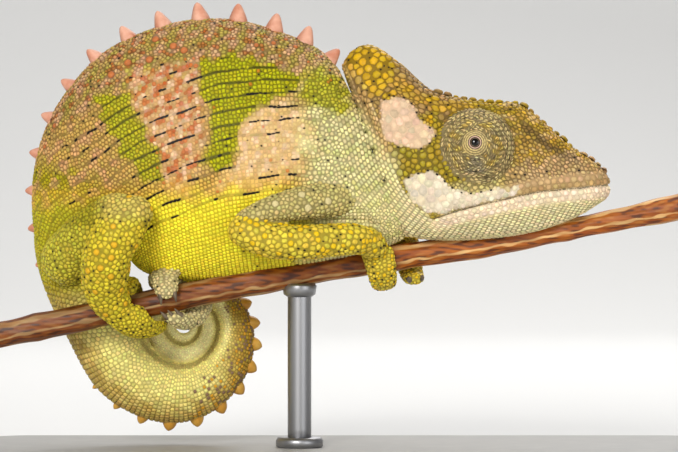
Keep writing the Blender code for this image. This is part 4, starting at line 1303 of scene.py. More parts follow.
# Large single scales of (x, height) on the back, the arm and the shank
BACK_BEADS = [(-21.3, 40.9), (-23.7, 40.6), (-18.7, 42.4), (-17.5, 41.9), (-25.5, 39.3), (-20.7, 43.2)]
ARM_PLATES = [(-7.5, 25.2), (-4.7, 26.2), (-1.8, 25.5), (-4.0, 24.7)]
SHANK_BEADS = [(-24.6, 20.8), (-24.9, 19.4), (-26.5, 20.0), (-27.5, 18.0), (-26.1, 18.3), (-25.0, 17.4)]


def fill_gaps(keep, rng, skin, face_node):
    """A close filling of scales wherever there is room, the largest first."""
    place, normal, chosen = random_places(rng, *skin, FILLING_TRIES)
    node = face_node[chosen]
    size = spacing_at(place, node)
    on_head = np.isin(node, HEAD_CODES)
    snout = on_head & (place[:, 0] > 15.0)
    slope = on_head & (place[:, 2] > 34.5) & (casque_plates(place) < 0.5)
    way = np.where((snout | slope)[:, None], [0.82, 0.0, -0.57], [1.0, 0.0, 0.15])
    lie = unit(np.cross(normal, np.cross(way, normal)) + 1e-6)
    kinds = np.where(size > 0.7, PLATE, SCALE)
    kinds[snout | slope] = LONG
    size[snout] = 0.38
    kinds[patches_at(place, node) > 0.5] = TILE
    order = np.argsort(-size, kind="stable")
    sizes = size[order] * rng.uniform(0.86, 1.12, len(order))
    keep(place[order], lie[order], sizes, kinds[order], list(range(len(NODE_NAMES))), 0.86)


def place_single_scales(sites):
    """The largest scales, each at its own place on both sides."""
    for flat, size, kind, allowed in ((BACK_BEADS, 0.95, BEAD, TRUNK_CODES),
                                      (ARM_PLATES, 0.85, PLATE, LIMB_CODES),
                                      (SHANK_BEADS, 0.82, BEAD, LIMB_CODES)):
        for side in (-1, 1):
            points = side_hits(flat, side, sites.tree)
            if len(points):
                sites.keep(points, np.tile([0.8, 0.0, 0.6], (len(points), 1)), size, kind, allowed, 0.7)


def place_beads(keep, rng, skin, face_node):
    """Large round scales and black specks, thrown over the regions that have them."""
    place, normal, chosen = random_places(rng, *skin, BEAD_TRIES)
    node = face_node[chosen]
    x, z = place[:, 0], place[:, 2]
    lie = unit(np.cross(normal, (0.1, 0.2, 0.9)))
    on_limb = np.isin(node, codes(("shank", "foot_right", "forearm", "hand")))
    on_back = np.isin(node, TRUNK_CODES) & (z > 38.0 - np.maximum(-21 - x, 0) * 0.9) & (x < -4)
    on_back &= np.maximum(greenness(place), inside(place, NAPE_PATCH)) < 0.1
    bead_rows = ((on_limb & ~np.isin(node, TOE_CODES), 0.72, 2.3, 0.02), (on_back, 0.62, 2.6, 0.008))
    for region, size, apart, share in bead_rows:
        picked = region & (rng.random(len(place)) < share)
        keep(place[picked], lie[picked], size, BEAD, LIMB_CODES + TRUNK_CODES, apart)
    specks = np.isin(node, HEAD_CODES + LIMB_CODES + codes(("neck", "chest"))) | on_back
    casque = np.isin(node, HEAD_CODES) & (x < 12) & (z > 33.0)
    specks &= rng.random(len(place)) < np.select([on_limb, casque], [0.045, 0.04], 0.02)
    specks &= inside(place, TEMPLE_PATCH, 0.1, 0.1) < 0.5
    keep(place[specks], lie[specks], 0.24, SPECK, HEAD_CODES + LIMB_CODES + TRUNK_CODES, 1.5)


# ---------------------------------------------------------------- the scales themselves

SECTORS = 8
SECTOR_ANGLES = np.arange(SECTORS) * 2 * np.pi / SECTORS
# Shares of the reach and of the height at which a scale's two upper rings stand
UPPER_RINGS = ((0.88, 0.58), (0.52, 0.94))
# Height of each kind that is no plain scale: a fixed part, and a share of the half width
KIND_HEIGHT = {PLATE: (0.04, 0.05), BEAD: (0.0, 0.42), SPECK: (0.05, 0.3), GROOVE: (0.02, 0.0),
               CONE: (0.0, 1.3), RING: (0.09, 0.0), DOME: (0.0, 0.72), TILE: (0.025, 0.0)}
# How deep a scale's rim is sunk in the skin, the gap it leaves to its neighbours, and their number
SINK = 0.05
CLEARANCE = 0.035
NEIGHBOURS = 14


def along_each(vectors, directions):
    """How far vectors reach along each scale's own direction."""
    return np.einsum("ijk,ik->ij", vectors, directions)


def cell_reach(place, normal, lie, half, aspect):
    """How far each scale reaches in each direction before it meets its neighbours'.

    Lengths along a long scale's lie are shortened by its aspect, so it is worked out as if round.
    """
    count = len(place)
    tree = KDTree(count)
    for index, point in enumerate(place.tolist()):
        tree.insert(point, index)
    tree.balance()
    found = [tree.find_n(point, NEIGHBOURS + 1)[1:] for point in place.tolist()]
    near = np.array([[index for _, index, _ in row] for row in found])
    offset = place[near] - place[:, None, :]
    flat = offset - normal[:, None, :] * along_each(offset, normal)[..., None]
    across = np.cross(normal, lie)
    a = along_each(flat, lie) / aspect[:, None]
    b = along_each(flat, across)
    length = np.maximum(np.hypot(a, b), 1e-3)
    border = (length ** 2 + half[:, None] ** 2 - half[near] ** 2) / (2 * length)
    reach = np.full((count, SECTORS), np.inf)
    for sector, angle in enumerate(SECTOR_ANGLES):
        facing = (a * math.cos(angle) + b * math.sin(angle)) / length
        limit = np.where(facing > 0.12, border / np.maximum(facing, 0.12), np.inf)
        reach[:, sector] = limit.min(1)
    return np.clip(reach, 0.05, 1.45 * half[:, None]), across


def scale_heights(kind, half, relief):
    """How high each kind of scale stands."""
    height = (0.05 + 0.32 * half) * relief
    for each, (base, share) in KIND_HEIGHT.items():
        height = np.where(kind == each, base + share * half, height)
    return height


def set_colours(piece, paint):
    """Store one colour for each vertex."""
    mesh = piece.data
    layer = mesh.color_attributes.new("coat", "FLOAT_COLOR", "POINT")
    values = np.ones((len(mesh.vertices), 4), np.float32)
    values[:, :3] = paint
    layer.data.foreach_set("color", values.ravel())

# Width of a scale's patch in the OFBake map
BAKE_PATCH = 0.003


def set_bake_map(piece, chart, local):
    """OFBake: each scale is a small patch at its root's place on the skin's own unwrap."""
    mesh = piece.data
    layer = mesh.uv_layers.new(name="OFBake")
    index = np.zeros(len(mesh.loops), np.int32)
    mesh.loops.foreach_get("vertex_index", index)
    uv = (chart[:, None, :] + local[None, :, :] * BAKE_PATCH / 2).reshape(-1, 2)[index]
    layer.data.foreach_set("uv", uv.astype(np.float32).ravel())


def scale_pattern():
    """Triangles of one scale: two bands between its three rings, and a fan to its top."""
    k = np.arange(SECTORS) + 2 * SECTORS
    fan = np.stack([k, np.roll(k, -1), np.full(SECTORS, 3 * SECTORS)], 1)
    return np.vstack(band_faces(0, SECTORS, SECTORS) + band_faces(SECTORS, 2 * SECTORS, SECTORS) + [fan])


def scale_points(scales, reach):
    """Points of every scale as a low dome on the skin: three rings and a top."""
    place, lie, normal, across, half, kind = (scales[word] for word in
                                              ("place", "lie", "normal", "across", "half", "kind"))
    height = scale_heights(kind, half, scales["relief"])
    clearance = np.select([kind == TILE, kind == GROOVE], [0.012, -0.02], CLEARANCE)
    sink = np.where(kind == TILE, 0.015, SINK)
    reach = np.maximum(reach - clearance[:, None], 0.6 * reach)
    rounder = np.isin(kind, (BEAD, SPECK, DOME))[:, None]
    reach = np.where(rounder, np.minimum(reach, half[:, None] * 0.96), reach)
    turn = ((np.cos(SECTOR_ANGLES) * ASPECT[kind][:, None])[..., None] * lie[:, None, :]
            + np.sin(SECTOR_ANGLES)[None, :, None] * across[:, None, :])
    flat = place[:, None, :] + turn * reach[..., None]
    rings = [flat - (normal * sink[:, None])[:, None, :]]
    for size, rise in UPPER_RINGS:
        rings.append(place[:, None, :] + turn * (reach * size)[..., None]
                     + normal[:, None, :] * (height * rise)[:, None, None])
    top = place + normal * height[:, None] - lie * (0.06 * half)[:, None]
    return np.concatenate(rings + [top[:, None, :]], 1)


def scale_paint(colours, gap):
    """Colour of each point of every scale, darker at its rim with darker skin and painted shade, and a little
    lighter at its top as a painted highlight.
    """
    # Rims take the gaps' darkening: darker skin and painted shade
    rim = np.concatenate([np.ones(SECTORS), np.full(SECTORS, 0.12), np.zeros(SECTORS + 1)])
    # Tops painted a little lighter, as a painted highlight
    top = np.concatenate([np.ones(2 * SECTORS), np.full(SECTORS, 1.04), [1.1]])
    shades = (1 - (1 - gap[:, None]) * rim) * top
    return np.clip(colours[:, None, :] * shades[..., None], 0, 1)


def chart_of(points, nodes):
    """Each root's place on an unwrap of the body: along it, and round it."""
    chart = np.zeros((len(points), 2))
    flat = points[:, [0, 2]]
    lap = np.where(points[:, 1] > 0, 0.5, 0.0)

    stations = curve(TRUNK, np.linspace(0, TRUNK_END, 200))
    middle = np.stack([(stations[:, 0] + stations[:, 2]) / 2, (stations[:, 1] + stations[:, 3]) / 2], 1)
    trunk = np.isin(nodes, TRUNK_CODES)
    near = np.argmin(((flat[trunk][:, None, :] - middle[None]) ** 2).sum(2), 1)
    around = np.arctan2(points[trunk, 2] - middle[near, 1], points[trunk, 1] - stations[near, 5])
    chart[trunk] = np.stack([near / 200, around / (2 * np.pi) + 0.5], 1)

    tail = np.isin(nodes, TAIL_CODES)
    _, degrees = tail_outward(points)
    radius = np.linalg.norm(flat - np.array(TAIL_CENTRE), axis=1)
    tail_lap = np.where(points[:, 1] > 6.0, 0.5, 0.0)
    chart[tail] = np.stack([degrees / 360 + 0.12, radius / 40 + tail_lap], 1)[tail]

    head = np.isin(nodes, HEAD_CODES + TURRET_CODES)
    up = np.arctan2(points[:, 2] - 29.0, points[:, 1])
    chart[head] = np.stack([(points[:, 0] + 1) / 31, up / (2 * np.pi) + 0.5], 1)[head]

    limb = np.isin(nodes, LIMB_CODES)
    chart[limb] = np.stack([(points[:, 0] + 36) / 48, (points[:, 2] - 8) / 20 * 0.48 + lap], 1)[limb]
    return np.clip(np.mod(chart, 1.0), BAKE_PATCH, 1 - BAKE_PATCH)

COAT_PIECES = {
    "scales_head": (codes(("head", "lower_jaw")), "head_skin"),
    "scales_turrets": (codes("eye_turret"), "turret_skin"),
    "scales_neck": (codes("neck"), "throat_skin"),
    "scales_chest": (codes("chest"), "body_skin"),
    "scales_abdomen": (codes("abdomen"), "body_skin"),
    "scales_pelvis": (codes("pelvis"), "body_skin"),
    "scales_tail": (codes("tail"), "tail_skin"),
    "scales_arms": (codes(("upper_arm", "forearm", "hand")), "limb_skin"),
    "scales_legs": (codes(("thigh", "shank", "foot")), "limb_skin"),
}


# Distance between the dark lines round the turrets
RING_PERIOD = 0.48


def scale_colours(place, kind, node, rng):
    """Markings at each root, varied from scale to scale, with dark specks, dashes and orange beads."""
    colour = coat_colour(place, node)
    colour = colour * rng.uniform(0.78, 1.18, (len(place), 1)) * rng.uniform(0.93, 1.07, (len(place), 3))
    chance = rng.random(len(place))
    speckle_trunk(colour, place, kind, node, chance)
    speckle_tail(colour, place, node, chance)
    on_arm = np.isin(node, codes(("forearm", "hand")))
    on_trunk = np.isin(node, TRUNK_CODES)
    bead = kind == BEAD
    for here, paint in ((on_arm & (chance > 0.8), ARM_YELLOW),
                        (bead & on_trunk, ORANGE * 0.7 + PINK * 0.3),
                        (bead & np.isin(node, codes(("shank", "foot"))), SHANK_BEAD),
                        (bead & on_arm, ARM_BEAD),
                        ((kind == PLATE) & np.isin(node, codes("upper_arm")), ARM_PLATE)):
        colour[here] = paint
    shade_rings(colour, place, kind, chance)
    colour[kind == SPECK] = DARK
    shade_grooves(colour, place, kind, node)
    return colour


def patches_at(points, nodes):
    """1 on the smooth white patches of the head."""
    patch = np.maximum(inside(points, TEMPLE_PATCH, 0.2, 0.22), inside(points, CHEEK_PATCH, 0.2, 0.22))
    return patch * np.isin(nodes, HEAD_CODES)


def speckle_trunk(colour, place, kind, node, chance):
    """Single orange scales on the pink flank and the back."""
    pinkish = inside(place, MIDDLE_PINK, 1.0) + 0.4 * inside(place, FORWARD_PINK, 1.0)
    pinkish = pinkish + 0.5 * ramp(36, 40, place[:, 2])
    orange = np.isin(node, TRUNK_CODES) & (chance < 0.06 * pinkish) & (kind == SCALE)
    colour[orange] = colour[orange] * 0.3 + ORANGE * 0.7


def speckle_tail(colour, place, node, chance):
    """Purple-grey and orange scales, thicker towards the tail's outer edge."""
    share, degrees = tail_outward(place)
    edge = np.isin(node, TAIL_CODES) & (share > 0.3) & (tail_distance(place) > 5.0) & (degrees > 75)
    crowded = share * ramp(75, 130, degrees)
    colour[edge & (chance < 0.3 * crowded)] = TAIL_PURPLE
    colour[edge & (chance > 1 - 0.2 * crowded)] = TAIL_ORANGE


def shade_rings(colour, place, kind, chance):
    """Dark and light rings of scales round each turret, broken by paler and darker ones."""
    radius, out, _ = turret_place(place)
    wander = 0.06 * waves(place, 1.3, 2)
    line = 0.5 + 0.5 * np.sin((radius - out + wander) * 2 * np.pi / RING_PERIOD)
    ring = kind == RING
    colour[ring] *= (0.4 + 0.82 * line)[ring][:, None]
    dashed = ring & (chance < 0.3 * line * ramp(0.0, 0.7, waves(place, 1.1, 4)))
    colour[dashed] = colour[dashed] * 0.5 + RING_LIGHT * 0.5
    colour[ring & (chance > 0.94)] *= 0.4


def shade_grooves(colour, place, kind, node):
    """Grooves darkened by darker skin and painted shade, with black dashes along those of the flank, and
    painted shade in the mouth's groove.
    """
    x, z = place[:, 0], place[:, 2]
    groove = kind == GROOVE
    pink = pinkness(place)
    dash = waves(place * np.array([1.0, 1.0, 3.0]), 4.2, 3) + 0.5 * waves(place, 1.5, 1)
    mask = ramp(-32.5, -28, x) * ramp(-3.5, -8.0, x)
    green = greenness(place)
    rear = ramp(-21.0, -25.0, x) + ramp(39.5, 41.5, z)
    dashed = (dash > 0.2 + 0.5 * green + 0.4 * rear - 0.2 * pink) & (mask > 0.3)
    # Darker skin and painted shade in the grooves
    colour[groove] *= (0.6 - 0.3 * green - 0.1 * mask + 0.3 * pink)[groove][:, None]
    colour[groove & np.isin(node, TRUNK_CODES) & dashed] = DARK * 0.5
    # Painted shade in the groove of the mouth
    colour[groove & np.isin(node, HEAD_CODES) & (x > 9.0)] *= 0.45


def gap_shade(points, nodes):
    """How much of the coat's brightness is left in the gaps between scales, which are darkened by darker skin
    and by painted shade.
    """
    mouth = mouth_height(points)
    head, trunk, tail = (np.isin(nodes, region) for region in (HEAD_CODES, TRUNK_CODES, TAIL_CODES))
    shade = np.full(len(points), 0.5)
    shade[trunk] = (0.46 + 0.4 * pinkness(points))[trunk]
    shade[trunk] += 0.12 * ramp(27.5, 25.5, points[trunk, 2])
    for here, left in ((head, 0.42),
                       (np.isin(nodes, TURRET_CODES), 0.36),
                       (head & (mouth < 0), 0.5),
                       (head & (np.abs(mouth) < 1.6) & (points[:, 0] > 9.0), 0.74)):
        shade[here] = left
    shade[tail] = (0.6 + 0.3 * ramp(5.8, 4.6, tail_distance(points)))[tail]
    return shade + (0.93 - shade) * patches_at(points, nodes)


def relief_at(points, nodes):
    """How boldly scales stand out in each region."""
    trunk = np.isin(nodes, TRUNK_CODES)
    relief = np.full(len(points), 1.0)
    relief[trunk] = (0.85 - 0.6 * pinkness(points))[trunk]
    relief[np.isin(nodes, HEAD_CODES + TAIL_CODES)] = 0.75
    relief[np.isin(nodes, LIMB_CODES)] = 0.7
    return relief


def gather_scales(skin, face_node):
    """Every scale's root, directions, half width and kind, with its node and colour."""
    sites = place_scales(skin, face_node)
    _, faces, normals = skin
    place, kind, size = np.array(sites.place), np.array(sites.kind), np.array(sites.size)
    near = np.array([sites.tree.find_nearest(point)[2] for point in place.tolist()])
    normal = unit(normals[faces[near]].mean(1))
    node = face_node[near]
    lie = np.array(sites.lie)
    lie = unit(lie - normal * np.einsum("ij,ij->i", lie, normal)[:, None])
    return {"place": place, "normal": normal, "lie": lie, "half": size / 2, "kind": kind, "node": node,
            "gap": gap_shade(place, node), "relief": relief_at(place, node)}


def make_coat(skin, face_node):
    """Every scale, in one piece for each region and side."""
    scales = gather_scales(skin, face_node)
    place, node, kind, normal = scales["place"], scales["node"], scales["kind"], scales["normal"]
    reach, scales["across"] = cell_reach(place, normal, scales["lie"], scales["half"], ASPECT[kind])
    colours = scale_colours(place, kind, node, np.random.default_rng(SEED + 1))
    points, pattern = scale_points(scales, reach), scale_pattern()
    paint = scale_paint(colours, scales["gap"])
    chart = chart_of(place, node)
    turns = SECTOR_ANGLES[:, None]
    rim = np.concatenate([np.cos(turns), np.sin(turns)], 1)
    local = np.vstack([rim, rim * 0.86, rim * 0.5, np.zeros((1, 2))])
    slots = dict.fromkeys(slot for _, slot in COAT_PIECES.values())
    materials = {slot: coat_material(f"coat_{slot}", 0.42, 2500.0) for slot in slots}
    for name, (nodes, slot) in COAT_PIECES.items():
        for side, word in SIDES:
            chosen = np.isin(node, nodes) & (normal[:, 1] * side > 0)
            first = np.arange(int(chosen.sum())) * points.shape[1]
            faces = (pattern[None] + first[:, None, None]).reshape(-1, 3)
            piece = new_piece(f"{name}_{word}", points[chosen].reshape(-1, 3), faces)
            set_colours(piece, paint[chosen].reshape(-1, 3))
            set_bake_map(piece, chart[chosen], local)
            finish_piece(piece, materials[slot], slot)


# ---------------------------------------------------------------- materials

def new_material(name, roughness, specular=0.5):
    """A Principled material with its plain values set on the shader."""
    material = bpy.data.materials.new(name)
    material.use_nodes = True
    shader = material.node_tree.nodes["Principled BSDF"]
    shader.inputs["Roughness"].default_value = roughness
    shader.inputs["Specular IOR Level"].default_value = specular
    return material, material.node_tree, shader


def noise(tree, scale, detail=4.0, distortion=0.0, stretch=None):
    """A noise in the object's own metres, its axes scaled by stretch where given."""
    place = tree.nodes.new("ShaderNodeTexCoord").outputs["Object"]
    node = tree.nodes.new("ShaderNodeTexNoise")
    for name, value in (("Scale", scale), ("Detail", detail), ("Distortion", distortion)):
        node.inputs[name].default_value = value
    if stretch:
        mapping = tree.nodes.new("ShaderNodeMapping")
        mapping.inputs["Scale"].default_value = stretch
        tree.links.new(place, mapping.inputs["Vector"])
        place = mapping.outputs["Vector"]
    tree.links.new(place, node.inputs["Vector"])
    return node.outputs["Fac"]


def remap(tree, source, low, high):
    """The usual range of a noise spread over a new range."""
    node = tree.nodes.new("ShaderNodeMapRange")
    tree.links.new(source, node.inputs["Value"])
    for name, value in (("From Min", 0.3), ("From Max", 0.7), ("To Min", low), ("To Max", high)):
        node.inputs[name].default_value = value
    return node.outputs["Result"]


def add_bump(tree, shader, source, depth, strength=0.6):
    """Fine relief from a value, to a depth in millimetres."""
    node = tree.nodes.new("ShaderNodeBump")
    node.inputs["Strength"].default_value = strength
    node.inputs["Distance"].default_value = depth * MM
    tree.links.new(source, node.inputs["Height"])
    tree.links.new(node.outputs["Normal"], shader.inputs["Normal"])


def paint_mottled(tree, shader, mottle, low, high):
    """The piece's own painted colours, darkened and lightened by a noise."""
    paint = tree.nodes.new("ShaderNodeVertexColor")
    paint.layer_name = "coat"
    product = tree.nodes.new("ShaderNodeVectorMath")
    product.operation = "SCALE"
    tree.links.new(paint.outputs["Color"], product.inputs[0])
    tree.links.new(remap(tree, mottle, low, high), product.inputs["Scale"])
    tree.links.new(product.outputs["Vector"], shader.inputs["Base Color"])


def coat_material(name, roughness, grain):
    """Painted markings with fine mottling and a slightly waxy, uneven gloss."""
    material, tree, shader = new_material(name, roughness, 0.2)
    paint_mottled(tree, shader, noise(tree, grain), 0.86, 1.14)
    sheen = remap(tree, noise(tree, grain * 0.4, 2.0), roughness - 0.08, roughness + 0.1)
    tree.links.new(sheen, shader.inputs["Roughness"])
    add_bump(tree, shader, noise(tree, grain * 3, 3.0), 0.04)
    return material


def two_tone(name, colours, scale, roughness, bump, stretch=(1, 1, 1)):
    """A material that mixes two colours by a stretched noise, with relief."""
    material, tree, shader = new_material(name, roughness, 0.4)
    grain = noise(tree, scale, 6.0, 0.4, stretch)
    tones = tree.nodes.new("ShaderNodeValToRGB")
    for element, position, colour in zip(tones.color_ramp.elements, (0.32, 0.68), colours):
        element.position = position
        element.color = (*colour, 1.0)
    tree.links.new(grain, tones.inputs["Fac"])
    tree.links.new(tones.outputs["Color"], shader.inputs["Base Color"])
    tree.links.new(remap(tree, grain, roughness - 0.06, roughness + 0.08), shader.inputs["Roughness"])
    add_bump(tree, shader, grain, bump)
    return material


def finish_piece(piece, material, slot, *nodes):
    """Material, body and the nodes that a piece stands for, which are hidden; slot is not used."""
    piece.data.materials.clear()
    piece.data.materials.append(material)
    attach(piece, "root")
    if nodes:
        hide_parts(*nodes)
    return piece


# ---------------------------------------------------------------- eyes, claws and spines

def turned(profile, origin, axis, across, up, sides=48):
    """Closed tube turned round an axis from (radius, out) pairs."""
    turns = turns_of(sides)
    way = np.cos(turns)[:, None] * across + np.sin(turns)[:, None] * up
    return np.array([origin + axis * out + way * radius for radius, out in profile])

PUPIL_RADIUS = 0.42
IRIS_RADIUS = 0.48
LID_OPENING = 0.54
LID_FURROW = 0.74
LID_RING = 0.23
# Section of the lid, as (radius, out) from the middle of the eyeball
LID_PROFILE = [(LID_OPENING - 0.03, 0.64), (LID_OPENING - 0.02, 0.72), (LID_OPENING + 0.02, 0.79),
               (LID_OPENING + 0.1, 0.8), (0.8, 0.75), (0.92, 0.68), (1.04, 0.58), (1.16, 0.46), (1.3, 0.3),
               (1.4, 0.1), (1.3, -0.1), (0.9, 0.0)]


def eye_paint(radius):
    """Black pupil, thin pale gold ring, then dark, as painted shadow under the lid's edge."""
    ring = ramp(PUPIL_RADIUS, PUPIL_RADIUS + 0.03, radius) * ramp(IRIS_RADIUS, IRIS_RADIUS - 0.04, radius)
    return layered(PUPIL, (IRIS, ring))


def lid_paint(points, radius, angle):
    """Painted shadow at the edge of the opening, pale rim, painted shade in the furrow, then fine rings of
    small olive scales.
    """
    ring = np.floor((radius - LID_FURROW) / LID_RING)
    across_ring = (radius - LID_FURROW) / LID_RING - ring
    along = 0.5 + 0.5 * np.sin(angle * 17 + ring * 2.4 + 0.8 * np.sin(3 * angle + ring))
    light = 0.25 + 0.85 * ramp(0.0, 0.35, across_ring) * ramp(1.0, 0.65, across_ring)
    light = light * (0.72 + 0.28 * ramp(0.05, 0.3, along))
    return layered(
        LID_RIM,
        # Painted shadow at the opening's edge, then painted shade in the furrow
        (LID_EDGE_SHADOW, ramp(LID_OPENING + 0.04, LID_OPENING + 0.01, radius)),
        (LID_FURROW_SHADE, ramp(LID_FURROW - 0.08, LID_FURROW - 0.04, radius)),
        (turret_colour(points) * light[:, None], ramp(LID_FURROW - 0.01, LID_FURROW + 0.03, radius)))


def eye_frame(side):
    """Centre, axis and two directions across it of the eyeball on one side."""
    origin, axis, across, up = turret_frame(side)
    return origin + axis * EYEBALL_OUT, axis, across, up


def make_eye(side, word):
    """Eyeball with a pupil and iris ring."""
    centre, axis, across, up = eye_frame(side)
    angles = np.concatenate([np.linspace(0.02, 0.75, 36), np.linspace(0.8, 3.05, 24)])
    profile = [(EYEBALL_RADIUS * math.sin(a), EYEBALL_RADIUS * math.cos(a)) for a in angles]
    points, faces = tube(turned(profile, centre, axis, across, up, 64))
    eye = new_piece(f"eye_{word}", points, faces)
    radius, along, _ = off_axis(points, centre, axis)
    set_colours(eye, eye_paint(np.where(along > 0, radius, 1.0)))
    material, tree, shader = new_material(f"eye_{word}", 0.07, 0.3)
    paint_mottled(tree, shader, noise(tree, 9000.0, 3.0), 0.8, 1.15)
    finish_piece(eye, material, "eye", f"eyeball_{word}")


def make_lid(side, word):
    """The fused lid round the eye's opening, wrinkled and ringed."""
    centre, axis, across, up = eye_frame(side)
    profile = curve(LID_PROFILE, np.linspace(0, len(LID_PROFILE) - 1, 60))
    wrinkle = 0.018 * np.sin(turns_of(96) * 23)[None, :] * ramp(0.68, 1.2, profile[:, 0])[:, None]
    fold = -0.025 * np.cos((profile[:, 0] - LID_FURROW) * 2 * np.pi / LID_RING)[:, None]
    fold = fold * ramp(LID_FURROW - 0.1, LID_FURROW, profile[:, 0])[:, None]
    points, faces = tube(turned(profile, centre, axis, across, up, 96) + axis * (wrinkle + fold)[..., None])
    lid = new_piece(f"eyelid_{word}", points, faces)
    radius, _, _ = off_axis(points, centre, axis)
    offset = points - centre
    angle = np.arctan2(offset @ up, offset @ across)
    set_colours(lid, lid_paint(points, radius, angle))
    finish_piece(lid, coat_material(f"eyelid_{word}", 0.45, 3000.0), "turret_skin")


def claw_tube(start, tip, outward, radius, sides=12, steps=9):
    """A tapering claw that curves in towards the twig."""
    turns = turns_of(sides)[:, None]
    side = unit(np.cross(tip - start, outward))
    rings = []
    for share in np.linspace(0, 1, steps):
        centre = start + (tip - start) * share + outward * 0.3 * math.sin(math.pi * share) * radius * 1.5
        size = radius * (1 - share) ** 0.7 + 0.02
        rings.append(centre + size * (np.cos(turns) * side + 1.2 * np.sin(turns) * outward))
    return tube(rings)


def claw_parts(spec):
    """Claws side by side at the tip of a toe bundle."""
    count = spec[-1]
    start, along, outward, width, _ = toe_frame(spec, 0.93)
    ahead = toe_frame(spec, 1.0)[0]
    heading = unit(ahead - start)
    parts = []
    for k in range(count):
        across = along * width * 0.55 * (2 * k / (count - 1) - 1)
        tip = ahead + across * 1.1 + heading * (CLAW_LENGTH - 0.05) - outward * 0.12 * CLAW_LENGTH
        parts.append(claw_tube(start + across, tip, outward, CLAW_RADIUS - 0.03))
    return parts


def make_claws():
    """One piece of claws for each foot."""
    horn = two_tone("claw_horn", CLAW_COLOURS, 900.0, 0.5, 0.02)
    for foot in ("hand_right", "hand_left", "foot_right", "foot_left"):
        parts = [part for name, spec in TOES.items() if name.startswith(foot) for part in claw_parts(spec)]
        finish_piece(new_piece(f"claws_{foot}", *joined(parts)), horn, "claw")

# Outlines of a crest cone and of a rounder tubercle: shares of the height and of the radius
CREST_STOPS = ((0.0, 1.12), (0.2, 1.08), (0.4, 0.92), (0.6, 0.73), (0.8, 0.52), (0.93, 0.32), (1.0, 0.1))
TUBERCLE_STOPS = ((0.0, 1.0), (0.3, 0.98), (0.5, 0.9), (0.66, 0.76), (0.8, 0.58), (0.92, 0.34), (1.0, 0.08))


def spine_tube(foot, tip, radius, stops, sides=14):
    """A blunt, slightly ridged cone: its stops are shares of its height and of its radius."""
    axis = unit(tip - foot)
    side = unit(np.cross(axis, (0.1, 1.0, 0.2)))
    other = np.cross(axis, side)
    turns = turns_of(sides)
    ridge = 1 + 0.06 * np.cos(turns * 5)
    way = np.cos(turns)[:, None] * side + np.sin(turns)[:, None] * other
    rings = []
    for share, size in stops:
        rings.append(foot + (tip - foot) * share + way * (ridge * size * radius)[:, None])
    return tube(rings)


def crest_places():
    """Foot, tip and radius of every cone along the back."""
    rows = curve(TRUNK, np.linspace(0, TRUNK_END, 401))
    back = rows[:, [0, 5, 1]]
    travelled = travelled_along(back)
    place = CREST_FIRST
    found = []
    while place < travelled[-1] - 1.0:
        index = int(np.searchsorted(travelled, place))
        heading = unit(back[min(index + 2, 400)] - back[index - 2])
        outward = np.array([-heading[2], 0.0, heading[0]])
        across = np.array([rows[index, 0] - rows[index, 2], 0.0, rows[index, 1] - rows[index, 3]])
        outward = outward if outward @ across > 0 else -outward
        share = place / travelled[-1]
        size = min(1.0, 0.8 + 3 * share) * (1 - 0.8 * max(0.0, share - 0.3) / 0.7)
        tip = back[index] + outward * CREST_HEIGHT * size + heading * 0.35 * size
        found.append((back[index] - outward * 0.55, tip, CREST_RADIUS * (0.45 + 0.55 * size)))
        place += CREST_PITCH * (0.78 + 0.22 * min(1.0, 6 * share))
    return found


TUBERCLE_STEP = 15.0
TUBERCLE_HEIGHT = 0.87
TUBERCLE_RADIUS = 0.8
FIRST_TUBERCLE = 35.0
FULL_TUBERCLE = 80.0
LAST_TUBERCLE = 300.0


def tubercle_places():
    """Foot, tip and radius of the tubercles along the tail's outer edge."""
    found = []
    degrees = FIRST_TUBERCLE
    while degrees < LAST_TUBERCLE:
        middle, outward, half, _ = tail_frame(degrees)
        grown = min((degrees - FIRST_TUBERCLE) / (FULL_TUBERCLE - FIRST_TUBERCLE), 1.0)
        size = (0.45 + 0.55 * grown) * min(1.0, 1.3 - degrees / 600)
        tip = middle + outward * (half + TUBERCLE_HEIGHT * size)
        found.append((middle + outward * (half - 0.6), tip, TUBERCLE_RADIUS * size))
        degrees += TUBERCLE_STEP * (1 + degrees / 1200)
    return found


def make_spines():
    """Crest cones along the back and rounder tubercles along the tail."""
    rows = (("crest_spines", crest_places(), CREST_STOPS, "crest_horn", CREST_COLOURS, 0.5),
            ("tail_tubercles", tubercle_places(), TUBERCLE_STOPS, "tail_tubercle", TUBERCLE_COLOURS, 0.45))
    for name, places, stops, material, colours, roughness in rows:
        spines = new_piece(name, *joined([spine_tube(*place, stops) for place in places]))
        finish_piece(spines, two_tone(material, colours, 700.0, roughness, 0.05), "spine")


# ---------------------------------------------------------------- twig and stand

# Pale streaks where bark has worn thin: angle round the twig, how far it wanders, half width
STREAKS = [(0.95, 0.22, 0.3), (-0.42, 0.16, 0.13), (2.4, 0.2, 0.25), (3.9, 0.2, 0.16), (4.9, 0.2, 0.2)]
KNOTS = (-33.5, 24.6)
TWIG_SIDES = 120
TWIG_STEPS = 420
# How far the bark lies inside the twig's solid, so that its ridges have room
BARK_ROOM = 0.07


